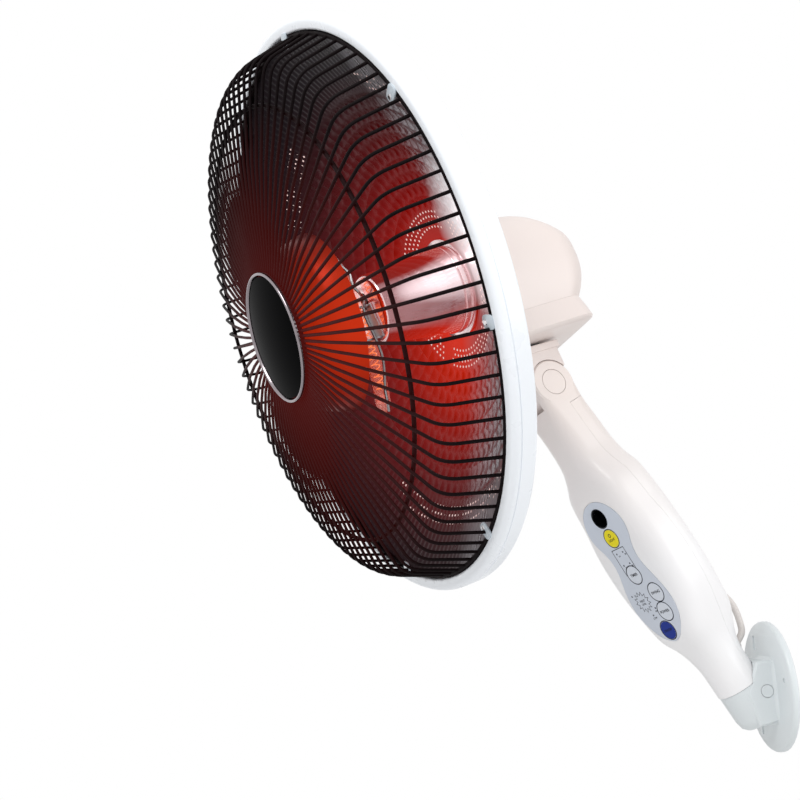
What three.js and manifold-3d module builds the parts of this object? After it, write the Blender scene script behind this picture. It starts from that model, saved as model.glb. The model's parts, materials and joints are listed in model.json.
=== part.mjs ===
// Wall-mounted parabolic heater: a round wall plate with an inclined socket, an arm that turns in
// that socket and carries the keys, a tilting neck, and a swinging head with its dish and guard.
// Millimetres. +Z is up, the wall is the plane y = 0, and the heater reaches out towards -Y.
import * as THREE from "three";
import { mergeVertices } from "three/addons/utils/BufferGeometryUtils.js";
import Module from "manifold-3d";

const wasm = await Module();
wasm.setup();

// ---------------------------------------------------------------- clearances
const GAP = 0.3; // between pieces that seat on each other
const RUN = 0.4; // round a piece that turns or slides
const THROUGH = 1; // how far a cutter passes its face
const FAR = 60; // the reach of a cutter that only has to be long enough

// ---------------------------------------------------------------- wall plate and socket
const PLATE_RADIUS = 46;
const PLATE_THICKNESS = 5;
const PLATE_EDGE = 1.6;
const PLATE_SIDES = 40;
const SLOT_X = -17;
const SLOT_Z = 30;
const SLOT_WIDTH = 3.8;
const SLOT_LENGTH = 11;
const HOLE_X = 33;
const HOLE_Z = 6;
const HOLE_RADIUS = 1.8;
const SOCKET_WIDTH = 34;
const SOCKET_TOP = 19.4;
const SOCKET_BOTTOM = 25;
const SOCKET_DEPTH = 25; // length of the inclined socket below its seam
const SOCKET_EDGE = 1.5;
// The socket's cheeks seen from the side, y and z, from their top outwards and down.
const SOCKET_SIDE = [
  [-9, SOCKET_TOP],
  [-17, SOCKET_TOP - 0.6],
  [-26, -4],
  [-19, -SOCKET_BOTTOM - 1],
];
const FOOT_WIDTH = 39;
const FOOT_HEIGHT = 2.4;

// ---------------------------------------------------------------- arm
const ARM_ROOT_Y = -23.8; // where the arm's axis meets the socket's cross plane
const ARM_ROOT_Z = -1.7;
const ARM_ELEVATION = 60; // degrees above the horizontal
const ARM_TURN = 23; // degrees, how far the arm is turned in its socket in the rest pose
const ARM_LENGTH = 260; // from the root to the tilt axis
const SEAM = 4; // height of the turning seam above the root
const TUBE_RADIUS = 17.2;
const ARM_WALL = 2.4;
const FACE_START = 58; // the flat control face, along the arm
const FACE_LENGTH = 120;
const FACE_END = FACE_START + FACE_LENGTH;
const FACE_OFFSET = 24; // from the arm's axis to the face at FACE_START
const FACE_SLOPE = 0.045; // the face nears the axis by this much per millimetre
const PARTING = 5; // the shells meet this far behind the axis
const REAR_SHELL_TOP = ARM_LENGTH - 19;

// Stations up the arm: height, half width, front offset (null on the flat face), back offset, corner.
const ARM_STATIONS = [
  [SEAM, TUBE_RADIUS, TUBE_RADIUS, TUBE_RADIUS, TUBE_RADIUS],
  [FACE_START - 34, TUBE_RADIUS, TUBE_RADIUS, TUBE_RADIUS, TUBE_RADIUS],
  [FACE_START - 21, 18.6, 18.4, 18.6, 16],
  [FACE_START - 11, 21, 20.5, 22, 15],
  [FACE_START, 25, null, 24.4, 14],
  [FACE_START + 20, 31.8, null, 22.6, 14],
  [FACE_START + 39, 35.8, null, 21.4, 14],
  [FACE_START + 58, 37.4, null, 21, 14],
  [FACE_START + 76, 36.6, null, 21.8, 14],
  [FACE_START + 96, 33, null, 24.2, 14],
  [FACE_END, 29.6, null, 24.4, 14],
  [FACE_END + 12, 23.6, 17, 24.4, 14],
  [FACE_END + 24, 19.6, 15.6, 24.8, 13.5],
  [FACE_END + 44, 18.4, 14.6, 24, 12],
  [FACE_END + 62, 18, 14.2, 22, 9],
];

// ---------------------------------------------------------------- turning spigot
const SPIGOT_RADIUS = 11;
const SPIGOT_BORE = 7;
const SPIGOT_DEPTH = 14; // below the root
const SPIGOT_TOP = 34;
const SPIGOT_FLANGE = 8;
const GROOVE_HEIGHT = -6.3;
const GROOVE_WIDTH = 5;
const GROOVE_RADIUS = 8.2;
const PIN_RADIUS = 2;
const PIN_OFFSET = 10.7;
const PIN_COVER_RADIUS = 4.4;
const PIN_COVER_DEPTH = 1.6;

// ---------------------------------------------------------------- control face
const WINDOW_RISE = 100.5; // above the start of the face, as the keys' and the overlay's heights are
const WINDOW_RADIUS = 7.2;
const WINDOW_PROUD = 1.6;
const OVERLAY_THICKNESS = 0.6;
const OVERLAY_LOBE = 22.4; // radius of the upper lobe
const OVERLAY_UPPER = WINDOW_RISE - 9.5;
const OVERLAY_LOWER = 30;
const OVERLAY_LOWER_LOBE = 23;
const OVERLAY_BOTTOM = -1;
const OVERLAY_TIP = 9.5;
const OVERLAY_WAIST = 15;
const OVERLAY_WAIST_RISE = OVERLAY_UPPER - 27;
const OVERLAY_LOBE_END = 28; // degrees below the horizontal
const KEY_RADIUS = 7;
const KEY_PROUD = 0.4;
const KEY_DEPTH = 2;
const KEY_STEM = 2;
const KEY_TRAVEL = 0.5;
const KEYS = [
  ["key_display", 0, WINDOW_RISE - 16.5, 0xe6cf1e],
  ["key_timer", 0, 53.5, 0xaab4c2],
  ["key_swing", 11, 36.5, 0xaab4c2],
  ["key_power", 8.2, 21.5, 0xaab4c2],
  ["key_on_off", -0.5, 8, 0x1d3f9c],
];
const BOARD_WIDTH = 34;
const BOARD_START = 0;
const BOARD_END = WINDOW_RISE + 11.5;
const BOARD_THICKNESS = 1.6;
const BOARD_DROP = 10; // from the outside of the face to the board's front
const BOARD_TABS = [0.28, 0.72]; // their places up the board
const TAB_REACH = 26;
const TAB_WIDTH = 8;
const SWITCH_SIDE = 6;
const SWITCH_HEIGHT = 3.5;
const PLUNGER_RADIUS = 1.7;
const PLUNGER_HEIGHT = 1.2;
const RECEIVER_RADIUS = 3.4;
const RECEIVER_HEIGHT = 4.7;
const FACE_CUT = 8; // how far the face's cutters reach to each side of it

// ---------------------------------------------------------------- lead at the back of the arm
const LEAD_RADIUS = 2.5;
const LEAD_TOP = 68;
const LEAD_BOTTOM = 27;
const LEAD_PROUD = 37.5; // the loop's furthest point behind the axis
const COLLAR_RADIUS = 4.4;
const COLLAR_LENGTH = 5;

// ---------------------------------------------------------------- tilt knuckle and neck
const TILT_BACK = 3.6; // the tilt axis lies this far behind the arm's axis
const TILT_REST = 11.56; // degrees, the neck leans back from the arm
const TILT_LEAN = 20; // degrees, how much further back it can lean
const KNUCKLE_RADIUS = 17.5;
const KNUCKLE_HALF = 18;
const KNUCKLE_EDGE = 1.2;
const TONGUE_HALF = 11;
const TONGUE_RADIUS = 16.8;
const NOTCH_DROP = 14;
const BOLT_RADIUS = 4;
const BOLT_HEAD_RADIUS = 7;
const BOLT_HEAD = 3.4;
const CAP_RADIUS = 9.7;
const CAP_THICKNESS = 1.8;
const WASHER_RADIUS = 10;
const WASHER_THICKNESS = 1;
const FLANGE_BOTTOM = 25.6;
const FLANGE_TOP = 30.7;
const FLANGE_HALF = 19;
const FLANGE_FRONT = 20;
const FLANGE_BACK = 21;
const SHAFT_RADIUS = 8;
const SHAFT_BORE = 5;
const SHAFT_FOOT = 20;
const SHAFT_TOP = 49;
const THRUST_RADIUS = 14;

// ---------------------------------------------------------------- head
const SWING_REST = -5; // degrees
const DISH_HEIGHT = 97.3; // dish axis above the tilt axis
const RIM_FORWARD = 120.5; // rim plane ahead of the swing axis
const HOUSING_BOTTOM = 33;
const HOUSING_SEAM = 53;
const HOUSING_WALL = 2.5;
const WIRE_WAY = 12; // radius of the wires' way through the cover's front wall
const HOUSING_FRONT = 52; // before the dish is cut out of it
// Stations up the swing housing: height, half width, back, corner.
const TRAY_STATIONS = [
  [HOUSING_BOTTOM, 39, 44, 12],
  [HOUSING_BOTTOM + 2.5, 42.5, 48, 14],
  [HOUSING_BOTTOM + 12, 41, 47.5, 15],
  [HOUSING_SEAM, 39, 47, 16],
];
const COVER_STATIONS = [
  [HOUSING_SEAM + GAP, 39.4, 47.6, 16],
  [60, 41, 52.5, 18],
  [71, 42.5, 58.5, 20],
  [84, 43, 61.5, 21],
  [101, 42.5, 61, 21],
  [111, 40.5, 55.5, 21],
  [120, 37, 47.5, 20],
  [128, 31.5, 38, 18],
  [134, 24, 27, 15],
  [137, 15, 16, 10],
];
const MOTOR_RADIUS = 25;
const MOTOR_HEIGHT = 21;
const MOTOR_BACK = 26;
const MOTOR_BOTTOM = 66;
const CRANK_RADIUS = 9;
const CRANK_HEIGHT = 4;
const CRANK_PIN = 2.2;
const LINK_WIDTH = 7;
const LINK_THICKNESS = 2;

// ---------------------------------------------------------------- dish, measured from the rim plane
const RIM_INNER = 200;
const RIM_OUTER = RIM_INNER + 10;
const RIM_FRONT = 1;
const RIM_LIP_BACK = -3;
const RIM_BACK = -16;
const RIM_SKIRT = 2.4;
const FLANGE_OUTER = RIM_OUTER - RIM_SKIRT - GAP; // of the sheets, inside the rim's skirt
const REFLECTOR_DEPTH = 88;
const REFLECTOR_EDGE = RIM_INNER - 2;
const REFLECTOR_EDGE_DEPTH = 4.3;
const REFLECTOR_SHEET = 0.6;
const REFLECTOR_HOLE = 30;
const REFLECTOR_RADII = [75, 115, REFLECTOR_EDGE - 48, REFLECTOR_EDGE - 22]; // where its facets meet
const BACK_DEPTH = 93;
const BACK_EDGE = RIM_INNER;
const BACK_EDGE_DEPTH = 8;
const BACK_SHEET = 0.8;
const BACK_HOLE = 26;
const BACK_RADII = [50, 85, BACK_EDGE - 75, BACK_EDGE - 35];
const DISH_SIDES = 36;

// ---------------------------------------------------------------- barrel and element
const BARREL_RADIUS = 33.5; // at the reflector
const BARREL_FRONT_RADIUS = 24;
const BARREL_FLANGE = 38;
const BARREL_FRONT = -15;
const BARREL_SHEET = 1;
const BARREL_HOLE = 6.5;
const BARREL_HOLE_RISE = 8; // the hole lies above the dish axis
const TUBE_OUTER = 5.5;
const TUBE_WALL = 1.1;
const TUBE_HALF = 54; // half the quartz tube's length
const TUBE_CENTRE = -14; // the element's middle, below the dish axis
const TUBE_PLANE = -1; // its ends, ahead of the rim plane
const TUBE_BOW = 5; // its middle is nearer the barrel by this much
const TUBE_LEAN = 4; // and its top by this much
const COIL_RADIUS = 2.9;
const COIL_WIRE = 0.5;
const COIL_TURNS = 20;
const COIL_STEPS = 8;
const COIL_SIDES = 5;
const COIL_END = 9; // from the coil's end to the tube's
const CAP_PLUG = 4;
const CAP_LENGTH = 9;
const CAP_TIP = 1.6;
const CARRIER_WIDTH = 20;
const FORK_WIDTH = 15.6;
const CARRIER_SHEET = 1.3;
const CARRIER_TOP = 3;
const CARRIER_BOTTOM = -24;
const BASE_RADIUS = 25;
const BASE_HEIGHT = 24;
const LEAD_WIRE = 1.1;

// ---------------------------------------------------------------- guard, badge and clips
const WIRES = 72;
const HOOP_SIDES = 36;
const WIRE = 2.2;
const WIRE_BACK = 1; // of it behind its centre line
const GUARD_RING = 3;
const GUARD_EDGE = RIM_INNER - 2.4;
const GUARD_EDGE_DEPTH = -1.4;
const KNEE_RADIUS = RIM_INNER - 16.7;
const KNEE_HEIGHT = 33.9;
const MID_RADIUS = RIM_INNER - 43.1;
const MID_HEIGHT = 40.7;
const MID_RING = 3.2;
const HUB_RADIUS = 47;
const HUB_HEIGHT = 59;
const HUB_THICKNESS = 3.2;
const BADGE_RADIUS = 44;
const BADGE_EDGE = 1.2;
const BADGE_DOME = 3.2;
const BEZEL_WIDTH = 3.2;
const BEZEL_HEIGHT = 2.6;
const CUP_RADIUS = 66;
const CUP_REAR = 11;
const CUP_FRONT = 38;
const CUP_TOP_RADIUS = 46;
const CUP_SHEET = 1;
const CUP_POST = 7;
const CLIPS = 8;
const CLIP_START = 17.5; // degrees from the dish's side towards its top
const CLIP_WIDTH = 13;
const CLIP_THICKNESS = 1.4;
const CLIP_LENGTH = 15;
const CLIP_HOLD = 7; // of it on the rim's ring

// ---------------------------------------------------------------- materials
function finish(color, roughness, metalness = 0) {
  return new THREE.MeshStandardMaterial({ color, roughness, metalness });
}
const WHITE = finish(0xf1eeea, 0.45);
const CREAM = finish(0xefe2d8, 0.5);
const RIM_WHITE = finish(0xeff3f8, 0.35);
const BLACK = finish(0x151214, 0.4);
const GLOSS_BLACK = finish(0x060606, 0.1);
const CHROME = finish(0xd9dade, 0.12, 1);
const REFLECTOR = finish(0xb9bcc2, 0.25, 1);
const STEEL = finish(0x9da0a4, 0.35, 1);
const CERAMIC = finish(0xe6dccb, 0.7);
const QUARTZ = finish(0xf6d9cc, 0.1);
const GLOW = finish(0xff5a1e, 0.6);
const OVERLAY = finish(0xafbac9, 0.5);
const BOARD = finish(0x2c6a3c, 0.6);
const DARK = finish(0x2b2b2e, 0.6);
const GREY_PLASTIC = finish(0x9fa3a8, 0.5);
const RUBBER = finish(0xe4dfda, 0.7);

// ---------------------------------------------------------------- solids
// A closed geometry as a solid, with shared vertices merged and its faces turned outwards.
function solid(geometry) {
  const loose = geometry.index ? geometry.toNonIndexed() : geometry;
  const bare = new THREE.BufferGeometry();
  bare.setAttribute("position", loose.getAttribute("position").clone());
  const merged = mergeVertices(bare, 1e-3);
  const corners = merged.index.array;
  const kept = [];
  for (let i = 0; i < corners.length; i += 3) {
    const [a, b, c] = corners.slice(i, i + 3);
    if (a !== b && b !== c && a !== c) kept.push(a, b, c);
  }
  const vertProperties = new Float32Array(merged.getAttribute("position").array);
  const build = (triVerts) =>
    new wasm.Manifold(new wasm.Mesh({ numProp: 3, vertProperties, triVerts }));
  const made = build(new Uint32Array(kept));
  if (made.volume() > 0) return made;
  for (let i = 0; i < kept.length; i += 3) [kept[i + 1], kept[i + 2]] = [kept[i + 2], kept[i + 1]];
  return build(new Uint32Array(kept));
}

// A solid's faces as a geometry.
function geometryOf(body) {
  const mesh = body.getMesh();
  const positions = new Float32Array(mesh.numVert * 3);
  for (let i = 0; i < mesh.numVert; i++) {
    const start = i * mesh.numProp;
    positions.set(mesh.vertProperties.subarray(start, start + 3), i * 3);
  }
  const geometry = new THREE.BufferGeometry();
  geometry.setAttribute("position", new THREE.BufferAttribute(positions, 3));
  geometry.setIndex(new THREE.BufferAttribute(new Uint32Array(mesh.triVerts), 1));
  geometry.computeVertexNormals();
  return geometry;
}

function join(first, ...others) {
  return others.reduce((body, other) => body.add(other), first);
}

function cut(first, ...others) {
  return others.reduce((body, other) => body.subtract(other), first);
}

function piece(group, name, body, material) {
  const mesh = new THREE.Mesh(geometryOf(body), material);
  mesh.name = name;
  group.add(mesh);
  return mesh;
}

const radians = THREE.MathUtils.degToRad;

// A box between two corners.
function block(x0, y0, z0, x1, y1, z1) {
  const geometry = new THREE.BoxGeometry(x1 - x0, y1 - y0, z1 - z0);
  geometry.translate((x0 + x1) / 2, (y0 + y1) / 2, (z0 + z1) / 2);
  return solid(geometry);
}

// A profile of [radius, height] points turned about Z.
function turned(profile, sides = 20) {
  const points = profile.map(([r, z]) => new THREE.Vector2(r, z));
  return solid(new THREE.LatheGeometry(points, sides).rotateX(Math.PI / 2));
}

// A ring profile is closed by repeating its first point.
function turnedRing(profile, sides = 20) {
  return turned([...profile, profile[0]], sides);
}

function rod(radius, z0, z1, sides = 20) {
  return turned([[0, z0], [radius, z0], [radius, z1], [0, z1]], sides);
}

// The same about an axis along X, from x0 to x1, through [y, z].
function crossRod(radius, x0, x1, y, z, sides = 20) {
  const geometry = new THREE.CylinderGeometry(radius, radius, x1 - x0, sides);
  geometry.rotateZ(Math.PI / 2).translate((x0 + x1) / 2, y, z);
  return solid(geometry);
}

// Rings of points with equal counts, joined side by side and capped.
function loft(rings) {
  const count = rings[0].length;
  const index = [];
  for (let row = 0; row + 1 < rings.length; row++) {
    for (let i = 0; i < count; i++) {
      const a = row * count + i;
      const b = row * count + ((i + 1) % count);
      index.push(a, b, b + count, a, b + count, a + count);
    }
  }
  const top = (rings.length - 1) * count;
  for (let i = 1; i + 1 < count; i++) {
    index.push(0, i + 1, i, top, top + i, top + i + 1);
  }
  const geometry = new THREE.BufferGeometry();
  const positions = rings.flat().flatMap((point) => point);
  geometry.setAttribute("position", new THREE.Float32BufferAttribute(positions, 3));
  geometry.setIndex(index);
  return solid(geometry);
}

// A rounded rectangle at one height: x is +-half, y runs from -front to +back.
function roundedRing(height, half, front, back, corner, steps = 4) {
  const radius = Math.min(corner, half - 0.1, (front + back) / 2 - 0.1);
  const centres = [
    [half - radius, back - radius, 0],
    [radius - half, back - radius, 90],
    [radius - half, radius - front, 180],
    [half - radius, radius - front, 270],
  ];
  const points = [];
  for (const [x, y, start] of centres) {
    for (let i = 0; i <= steps; i++) {
      const angle = radians(start + (90 * i) / steps);
      points.push([x + radius * Math.cos(angle), y + radius * Math.sin(angle), height]);
    }
  }
  return points;
}

// An outline drawn in x and y, raised from z0 to z1.
function raised(shape, z0, z1, bevel = 0, curveSegments = 10) {
  const geometry = new THREE.ExtrudeGeometry(shape, {
    depth: z1 - z0 - 2 * bevel,
    bevelEnabled: bevel > 0,
    bevelThickness: bevel,
    bevelSize: bevel,
    bevelOffset: -bevel,
    bevelSegments: 1,
    curveSegments,
  });
  return solid(geometry.translate(0, 0, z0 + bevel));
}

// A round or hollow section swept along a curve.
function swept(curve, radius, sides, steps, bore = 0) {
  const shape = new THREE.Shape();
  shape.absarc(0, 0, radius, 0, 2 * Math.PI, false);
  if (bore > 0) {
    const hole = new THREE.Path();
    hole.absarc(0, 0, bore, 0, 2 * Math.PI, true);
    shape.holes.push(hole);
  }
  const options = { steps, extrudePath: curve, curveSegments: sides, bevelEnabled: false };
  return solid(new THREE.ExtrudeGeometry(shape, options));
}

// ================================================================ wall bracket
const heater = new THREE.Group();
const wall = new THREE.Group();
heater.add(wall);

// The socket and the arm share one inclined frame: Z along the arm, -Y towards the control face.
const incline = new THREE.Matrix4().makeRotationX(radians(90 - ARM_ELEVATION));
incline.setPosition(0, ARM_ROOT_Y, ARM_ROOT_Z);

function inclined(body) {
  return body.transform(incline.elements);
}

// For an outline drawn in y and z and raised along x.
const sideways = new THREE.Matrix4().makeBasis(
  new THREE.Vector3(0, 1, 0),
  new THREE.Vector3(0, 0, 1),
  new THREE.Vector3(1, 0, 0),
);

function wallBracket() {
  const edge = PLATE_RADIUS - PLATE_EDGE;
  const plateProfile = [
    [0, 0],
    [PLATE_RADIUS - 0.5, 0],
    [PLATE_RADIUS, 0.5],
    [PLATE_RADIUS, PLATE_THICKNESS - PLATE_EDGE],
    [edge + 0.6 * PLATE_EDGE, PLATE_THICKNESS - 0.35 * PLATE_EDGE],
    [edge, PLATE_THICKNESS],
    [0, PLATE_THICKNESS],
  ];
  // Turned about Z, then laid so that its height runs towards -Y.
  const lay = new THREE.Matrix4().makeRotationX(Math.PI / 2);
  const plate = turned(plateProfile, PLATE_SIDES).transform(lay.elements);

  const half = SOCKET_WIDTH / 2;
  const side = new THREE.Shape();
  side.moveTo(-PLATE_THICKNESS + THROUGH, SOCKET_TOP - 1);
  for (const [y, z] of SOCKET_SIDE) side.lineTo(y, z);
  side.quadraticCurveTo(-10, -SOCKET_BOTTOM, -PLATE_THICKNESS + THROUGH, -SOCKET_BOTTOM + 2);
  side.closePath();
  const cheeks = raised(side, -half, half, SOCKET_EDGE).transform(sideways.elements);

  const foot = loft([
    roundedRing(0, FOOT_WIDTH / 2, SOCKET_BOTTOM + 1.5, SOCKET_TOP + 2, 9),
    roundedRing(FOOT_HEIGHT, half - 0.6, SOCKET_BOTTOM - 1.5, SOCKET_TOP - 1, 6),
  ]);
  const footPlace = new THREE.Matrix4().makeRotationX(Math.PI / 2);
  footPlace.setPosition(0, -PLATE_THICKNESS + 0.1, 0);

  const stub = inclined(
    turned([
      [0, -SOCKET_DEPTH],
      [TUBE_RADIUS - 4.4, -SOCKET_DEPTH],
      [TUBE_RADIUS - 1.6, -SOCKET_DEPTH + 3],
      [TUBE_RADIUS - 0.6, -SOCKET_DEPTH + 8],
      [TUBE_RADIUS - 0.5, SEAM - GAP],
      [0, SEAM - GAP],
    ]),
  );
  const armRoom = inclined(rod(TUBE_RADIUS + RUN + 0.2, SEAM - GAP, SEAM + FAR));
  const bore = inclined(rod(SPIGOT_RADIUS + RUN, -SPIGOT_DEPTH - GAP, SEAM + THROUGH));
  const pinWay = inclined(
    crossRod(PIN_RADIUS + GAP, -half + 4, half + THROUGH, PIN_OFFSET, GROOVE_HEIGHT),
  );
  const coverWay = inclined(
    crossRod(
      PIN_COVER_RADIUS + GAP,
      half - PIN_COVER_DEPTH - GAP,
      half + THROUGH,
      PIN_OFFSET,
      GROOVE_HEIGHT,
    ),
  );
  const behindWall = block(-FAR, 0, -FAR, FAR, FAR, FAR);
  const body = join(plate, cheeks, foot.transform(footPlace.elements), stub);

  const slots = [SLOT_Z, -SLOT_Z].map((z) => {
    const reach = SLOT_LENGTH / 2 - SLOT_WIDTH / 2;
    const slot = new THREE.Shape();
    slot.absarc(SLOT_X, z + reach, SLOT_WIDTH / 2, 0, Math.PI, false);
    slot.absarc(SLOT_X, z - reach, SLOT_WIDTH / 2, Math.PI, 2 * Math.PI, false);
    slot.closePath();
    return raised(slot, -THROUGH, PLATE_THICKNESS + THROUGH, 0, 5).transform(lay.elements);
  });
  const hole = rod(HOLE_RADIUS, -THROUGH, PLATE_THICKNESS + THROUGH, 12)
    .transform(lay.elements)
    .translate([HOLE_X, 0, HOLE_Z]);
  return cut(body, behindWall, armRoom, bore, pinWay, coverWay, ...slots, hole);
}
piece(wall, "wall_bracket", wallBracket(), WHITE);

const retainingPin = inclined(
  crossRod(
    PIN_RADIUS,
    4 + GAP - SOCKET_WIDTH / 2,
    SOCKET_WIDTH / 2 - PIN_COVER_DEPTH - 2 * GAP,
    PIN_OFFSET,
    GROOVE_HEIGHT,
    12,
  ),
);
piece(wall, "retaining_pin", retainingPin, STEEL);
const pinCover = inclined(
  crossRod(
    PIN_COVER_RADIUS,
    SOCKET_WIDTH / 2 - PIN_COVER_DEPTH,
    SOCKET_WIDTH / 2 + 0.2,
    PIN_OFFSET,
    GROOVE_HEIGHT,
  ),
);
piece(wall, "pin_cover", pinCover, WHITE);

// ================================================================ arm
const armFrame = new THREE.Group();
armFrame.position.set(0, ARM_ROOT_Y, ARM_ROOT_Z);
armFrame.rotation.x = radians(90 - ARM_ELEVATION);
heater.add(armFrame);
const arm = new THREE.Group();
arm.rotation.z = radians(ARM_TURN);
armFrame.add(arm);

function faceOffset(height) {
  return FACE_OFFSET - FACE_SLOPE * (height - FACE_START);
}

function armRings(inset, steps = 3) {
  return ARM_STATIONS.map(([height, half, front, back, corner]) =>
    roundedRing(
      height,
      half - inset,
      (front ?? faceOffset(height)) - inset,
      back - inset,
      Math.max(corner - inset, 2),
      steps,
    ),
  );
}

// Turns a piece drawn flat (x across, y up the face, z outwards) onto the control face.
const facePlace = new THREE.Matrix4().makeBasis(
  new THREE.Vector3(1, 0, 0),
  new THREE.Vector3(0, FACE_SLOPE, 1).normalize(),
  new THREE.Vector3(0, -1, FACE_SLOPE).normalize(),
);
facePlace.setPosition(0, -FACE_OFFSET, FACE_START);
const slopeLength = Math.hypot(1, FACE_SLOPE);

function onFace(body) {
  return body.transform(facePlace.elements);
}

// A rise up the arm as a distance along its sloping face.
function alongFace(rise) {
  return rise * slopeLength;
}

function armShells() {
  const top = roundedRing(
    ARM_LENGTH,
    KNUCKLE_HALF,
    KNUCKLE_RADIUS - TILT_BACK,
    KNUCKLE_RADIUS + TILT_BACK,
    3,
  );
  const outer = loft([...armRings(0), top]);
  const inside = armRings(ARM_WALL, 2).filter((_, i) => i < 3 || i % 2 === 0);
  inside[0] = inside[0].map(([x, y]) => [x, y, SEAM - THROUGH]);
  const hollow = loft(inside.slice(0, -1));

  const edge = KNUCKLE_RADIUS - KNUCKLE_EDGE;
  const drum = turned([
    [0, -KNUCKLE_HALF],
    [edge, -KNUCKLE_HALF],
    [KNUCKLE_RADIUS, KNUCKLE_EDGE - KNUCKLE_HALF],
    [KNUCKLE_RADIUS, KNUCKLE_HALF - KNUCKLE_EDGE],
    [edge, KNUCKLE_HALF],
    [0, KNUCKLE_HALF],
  ]);
  const across = new THREE.Matrix4().makeRotationY(Math.PI / 2);
  across.setPosition(0, TILT_BACK, ARM_LENGTH);
  const slotHalf = TONGUE_HALF + GAP;
  const tongueRoom = crossRod(TONGUE_RADIUS + RUN, -slotHalf, slotHalf, TILT_BACK, ARM_LENGTH, 28);
  const above = block(-slotHalf, -FAR, ARM_LENGTH, slotHalf, FAR, ARM_LENGTH + FAR);
  const notchFloor = ARM_LENGTH - NOTCH_DROP;
  const notch = block(-slotHalf, -FAR, notchFloor, slotHalf, 0, ARM_LENGTH + THROUGH);
  const boltWay = crossRod(BOLT_RADIUS + GAP, -FAR, FAR, TILT_BACK, ARM_LENGTH);
  const recess = CAP_THICKNESS + GAP;
  const headRoom = BOLT_HEAD + GAP;
  const recesses = [-1, 1].flatMap((sign) => {
    const capWay = crossRod(CAP_RADIUS + GAP, 0, recess + THROUGH, TILT_BACK, ARM_LENGTH);
    const headWay = crossRod(BOLT_HEAD_RADIUS + GAP, 0, headRoom, TILT_BACK, ARM_LENGTH);
    const capStart = sign > 0 ? KNUCKLE_HALF - recess : -KNUCKLE_HALF - THROUGH;
    const headStart = sign > 0 ? KNUCKLE_HALF - recess - headRoom : recess - KNUCKLE_HALF;
    return [capWay.translate([capStart, 0, 0]), headWay.translate([headStart, 0, 0])];
  });
  const overlayRoom = onFace(raised(overlayOutline(GAP), -OVERLAY_THICKNESS, FACE_CUT / 2, 0, 6));
  const whole = cut(
    join(outer, drum.transform(across.elements)),
    hollow,
    tongueRoom,
    above,
    notch,
    boltWay,
    ...recesses,
    ...faceHoles().map(onFace),
    overlayRoom,
  );
  const leadWays = [LEAD_TOP, LEAD_BOTTOM].map((height) => leadCollar(height, COLLAR_RADIUS + GAP));
  const rearRoom = block(-FAR, PARTING - GAP, -FAR, FAR, FAR, REAR_SHELL_TOP);
  const rearBox = block(-FAR, PARTING, -FAR, FAR, FAR, REAR_SHELL_TOP - GAP);
  return {
    front: cut(whole, rearRoom),
    rear: cut(whole.intersect(rearBox), ...leadWays),
  };
}

// The rooms of the keys and of the window, drawn flat.
function faceHoles() {
  const keyHoles = KEYS.map(([, x, rise]) =>
    rod(KEY_RADIUS + GAP, -FACE_CUT, FACE_CUT).translate([x, alongFace(rise), 0]),
  );
  const windowHole = rod(WINDOW_RADIUS + GAP, -FACE_CUT, FACE_CUT);
  return [...keyHoles, windowHole.translate([0, alongFace(WINDOW_RISE), 0])];
}

// The membrane's outline: a round upper lobe, a waist and a longer lobe that narrows downwards.
function overlayOutline(extra = 0) {
  const lobe = OVERLAY_LOBE + extra;
  const lower = OVERLAY_LOWER_LOBE + extra;
  const waist = OVERLAY_WAIST + extra;
  const upper = alongFace(OVERLAY_UPPER);
  const middle = alongFace(OVERLAY_WAIST_RISE);
  const low = alongFace(OVERLAY_LOWER);
  const tip = alongFace(OVERLAY_BOTTOM) - extra;
  const lobeEnd = radians(OVERLAY_LOBE_END);
  const shape = new THREE.Shape();
  shape.absarc(0, upper, lobe, -lobeEnd, Math.PI + lobeEnd, false);
  shape.quadraticCurveTo(-waist, middle + 6, -waist, middle);
  shape.bezierCurveTo(-waist - 1, middle - 12, -lower, low + 14, -lower, low);
  shape.bezierCurveTo(-lower, low - 16, -OVERLAY_TIP, tip, 0, tip);
  shape.bezierCurveTo(OVERLAY_TIP, tip, lower, low - 16, lower, low);
  shape.bezierCurveTo(lower, low + 14, waist + 1, middle - 12, waist, middle);
  shape.quadraticCurveTo(
    waist,
    middle + 6,
    lobe * Math.cos(lobeEnd),
    upper - lobe * Math.sin(lobeEnd),
  );
  return shape;
}

// A round collar behind the arm, where the lead passes the rear shell.
function leadCollar(height, radius) {
  return crossRod(radius, 0, COLLAR_LENGTH, 0, 0, 16)
    .rotate([0, 0, 90])
    .translate([0, leadSeat(height) - COLLAR_LENGTH / 2, height]);
}

// Where the arm's back lies at a height, between its stations.
function leadSeat(height) {
  const above = ARM_STATIONS.findIndex(([station]) => station >= height);
  const [z0, , , back0] = ARM_STATIONS[above - 1];
  const [z1, , , back1] = ARM_STATIONS[above];
  return THREE.MathUtils.mapLinear(height, z0, z1, back0, back1);
}

const shells = armShells();
piece(arm, "arm_front_shell", shells.front, WHITE);
piece(arm, "arm_rear_shell", shells.rear, WHITE);

function overlaySheet() {
  const sheet = raised(overlayOutline(), -OVERLAY_THICKNESS + GAP / 2, GAP / 2, 0, 6);
  return onFace(cut(sheet, ...faceHoles()));
}
piece(arm, "control_overlay", overlaySheet(), OVERLAY);

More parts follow.
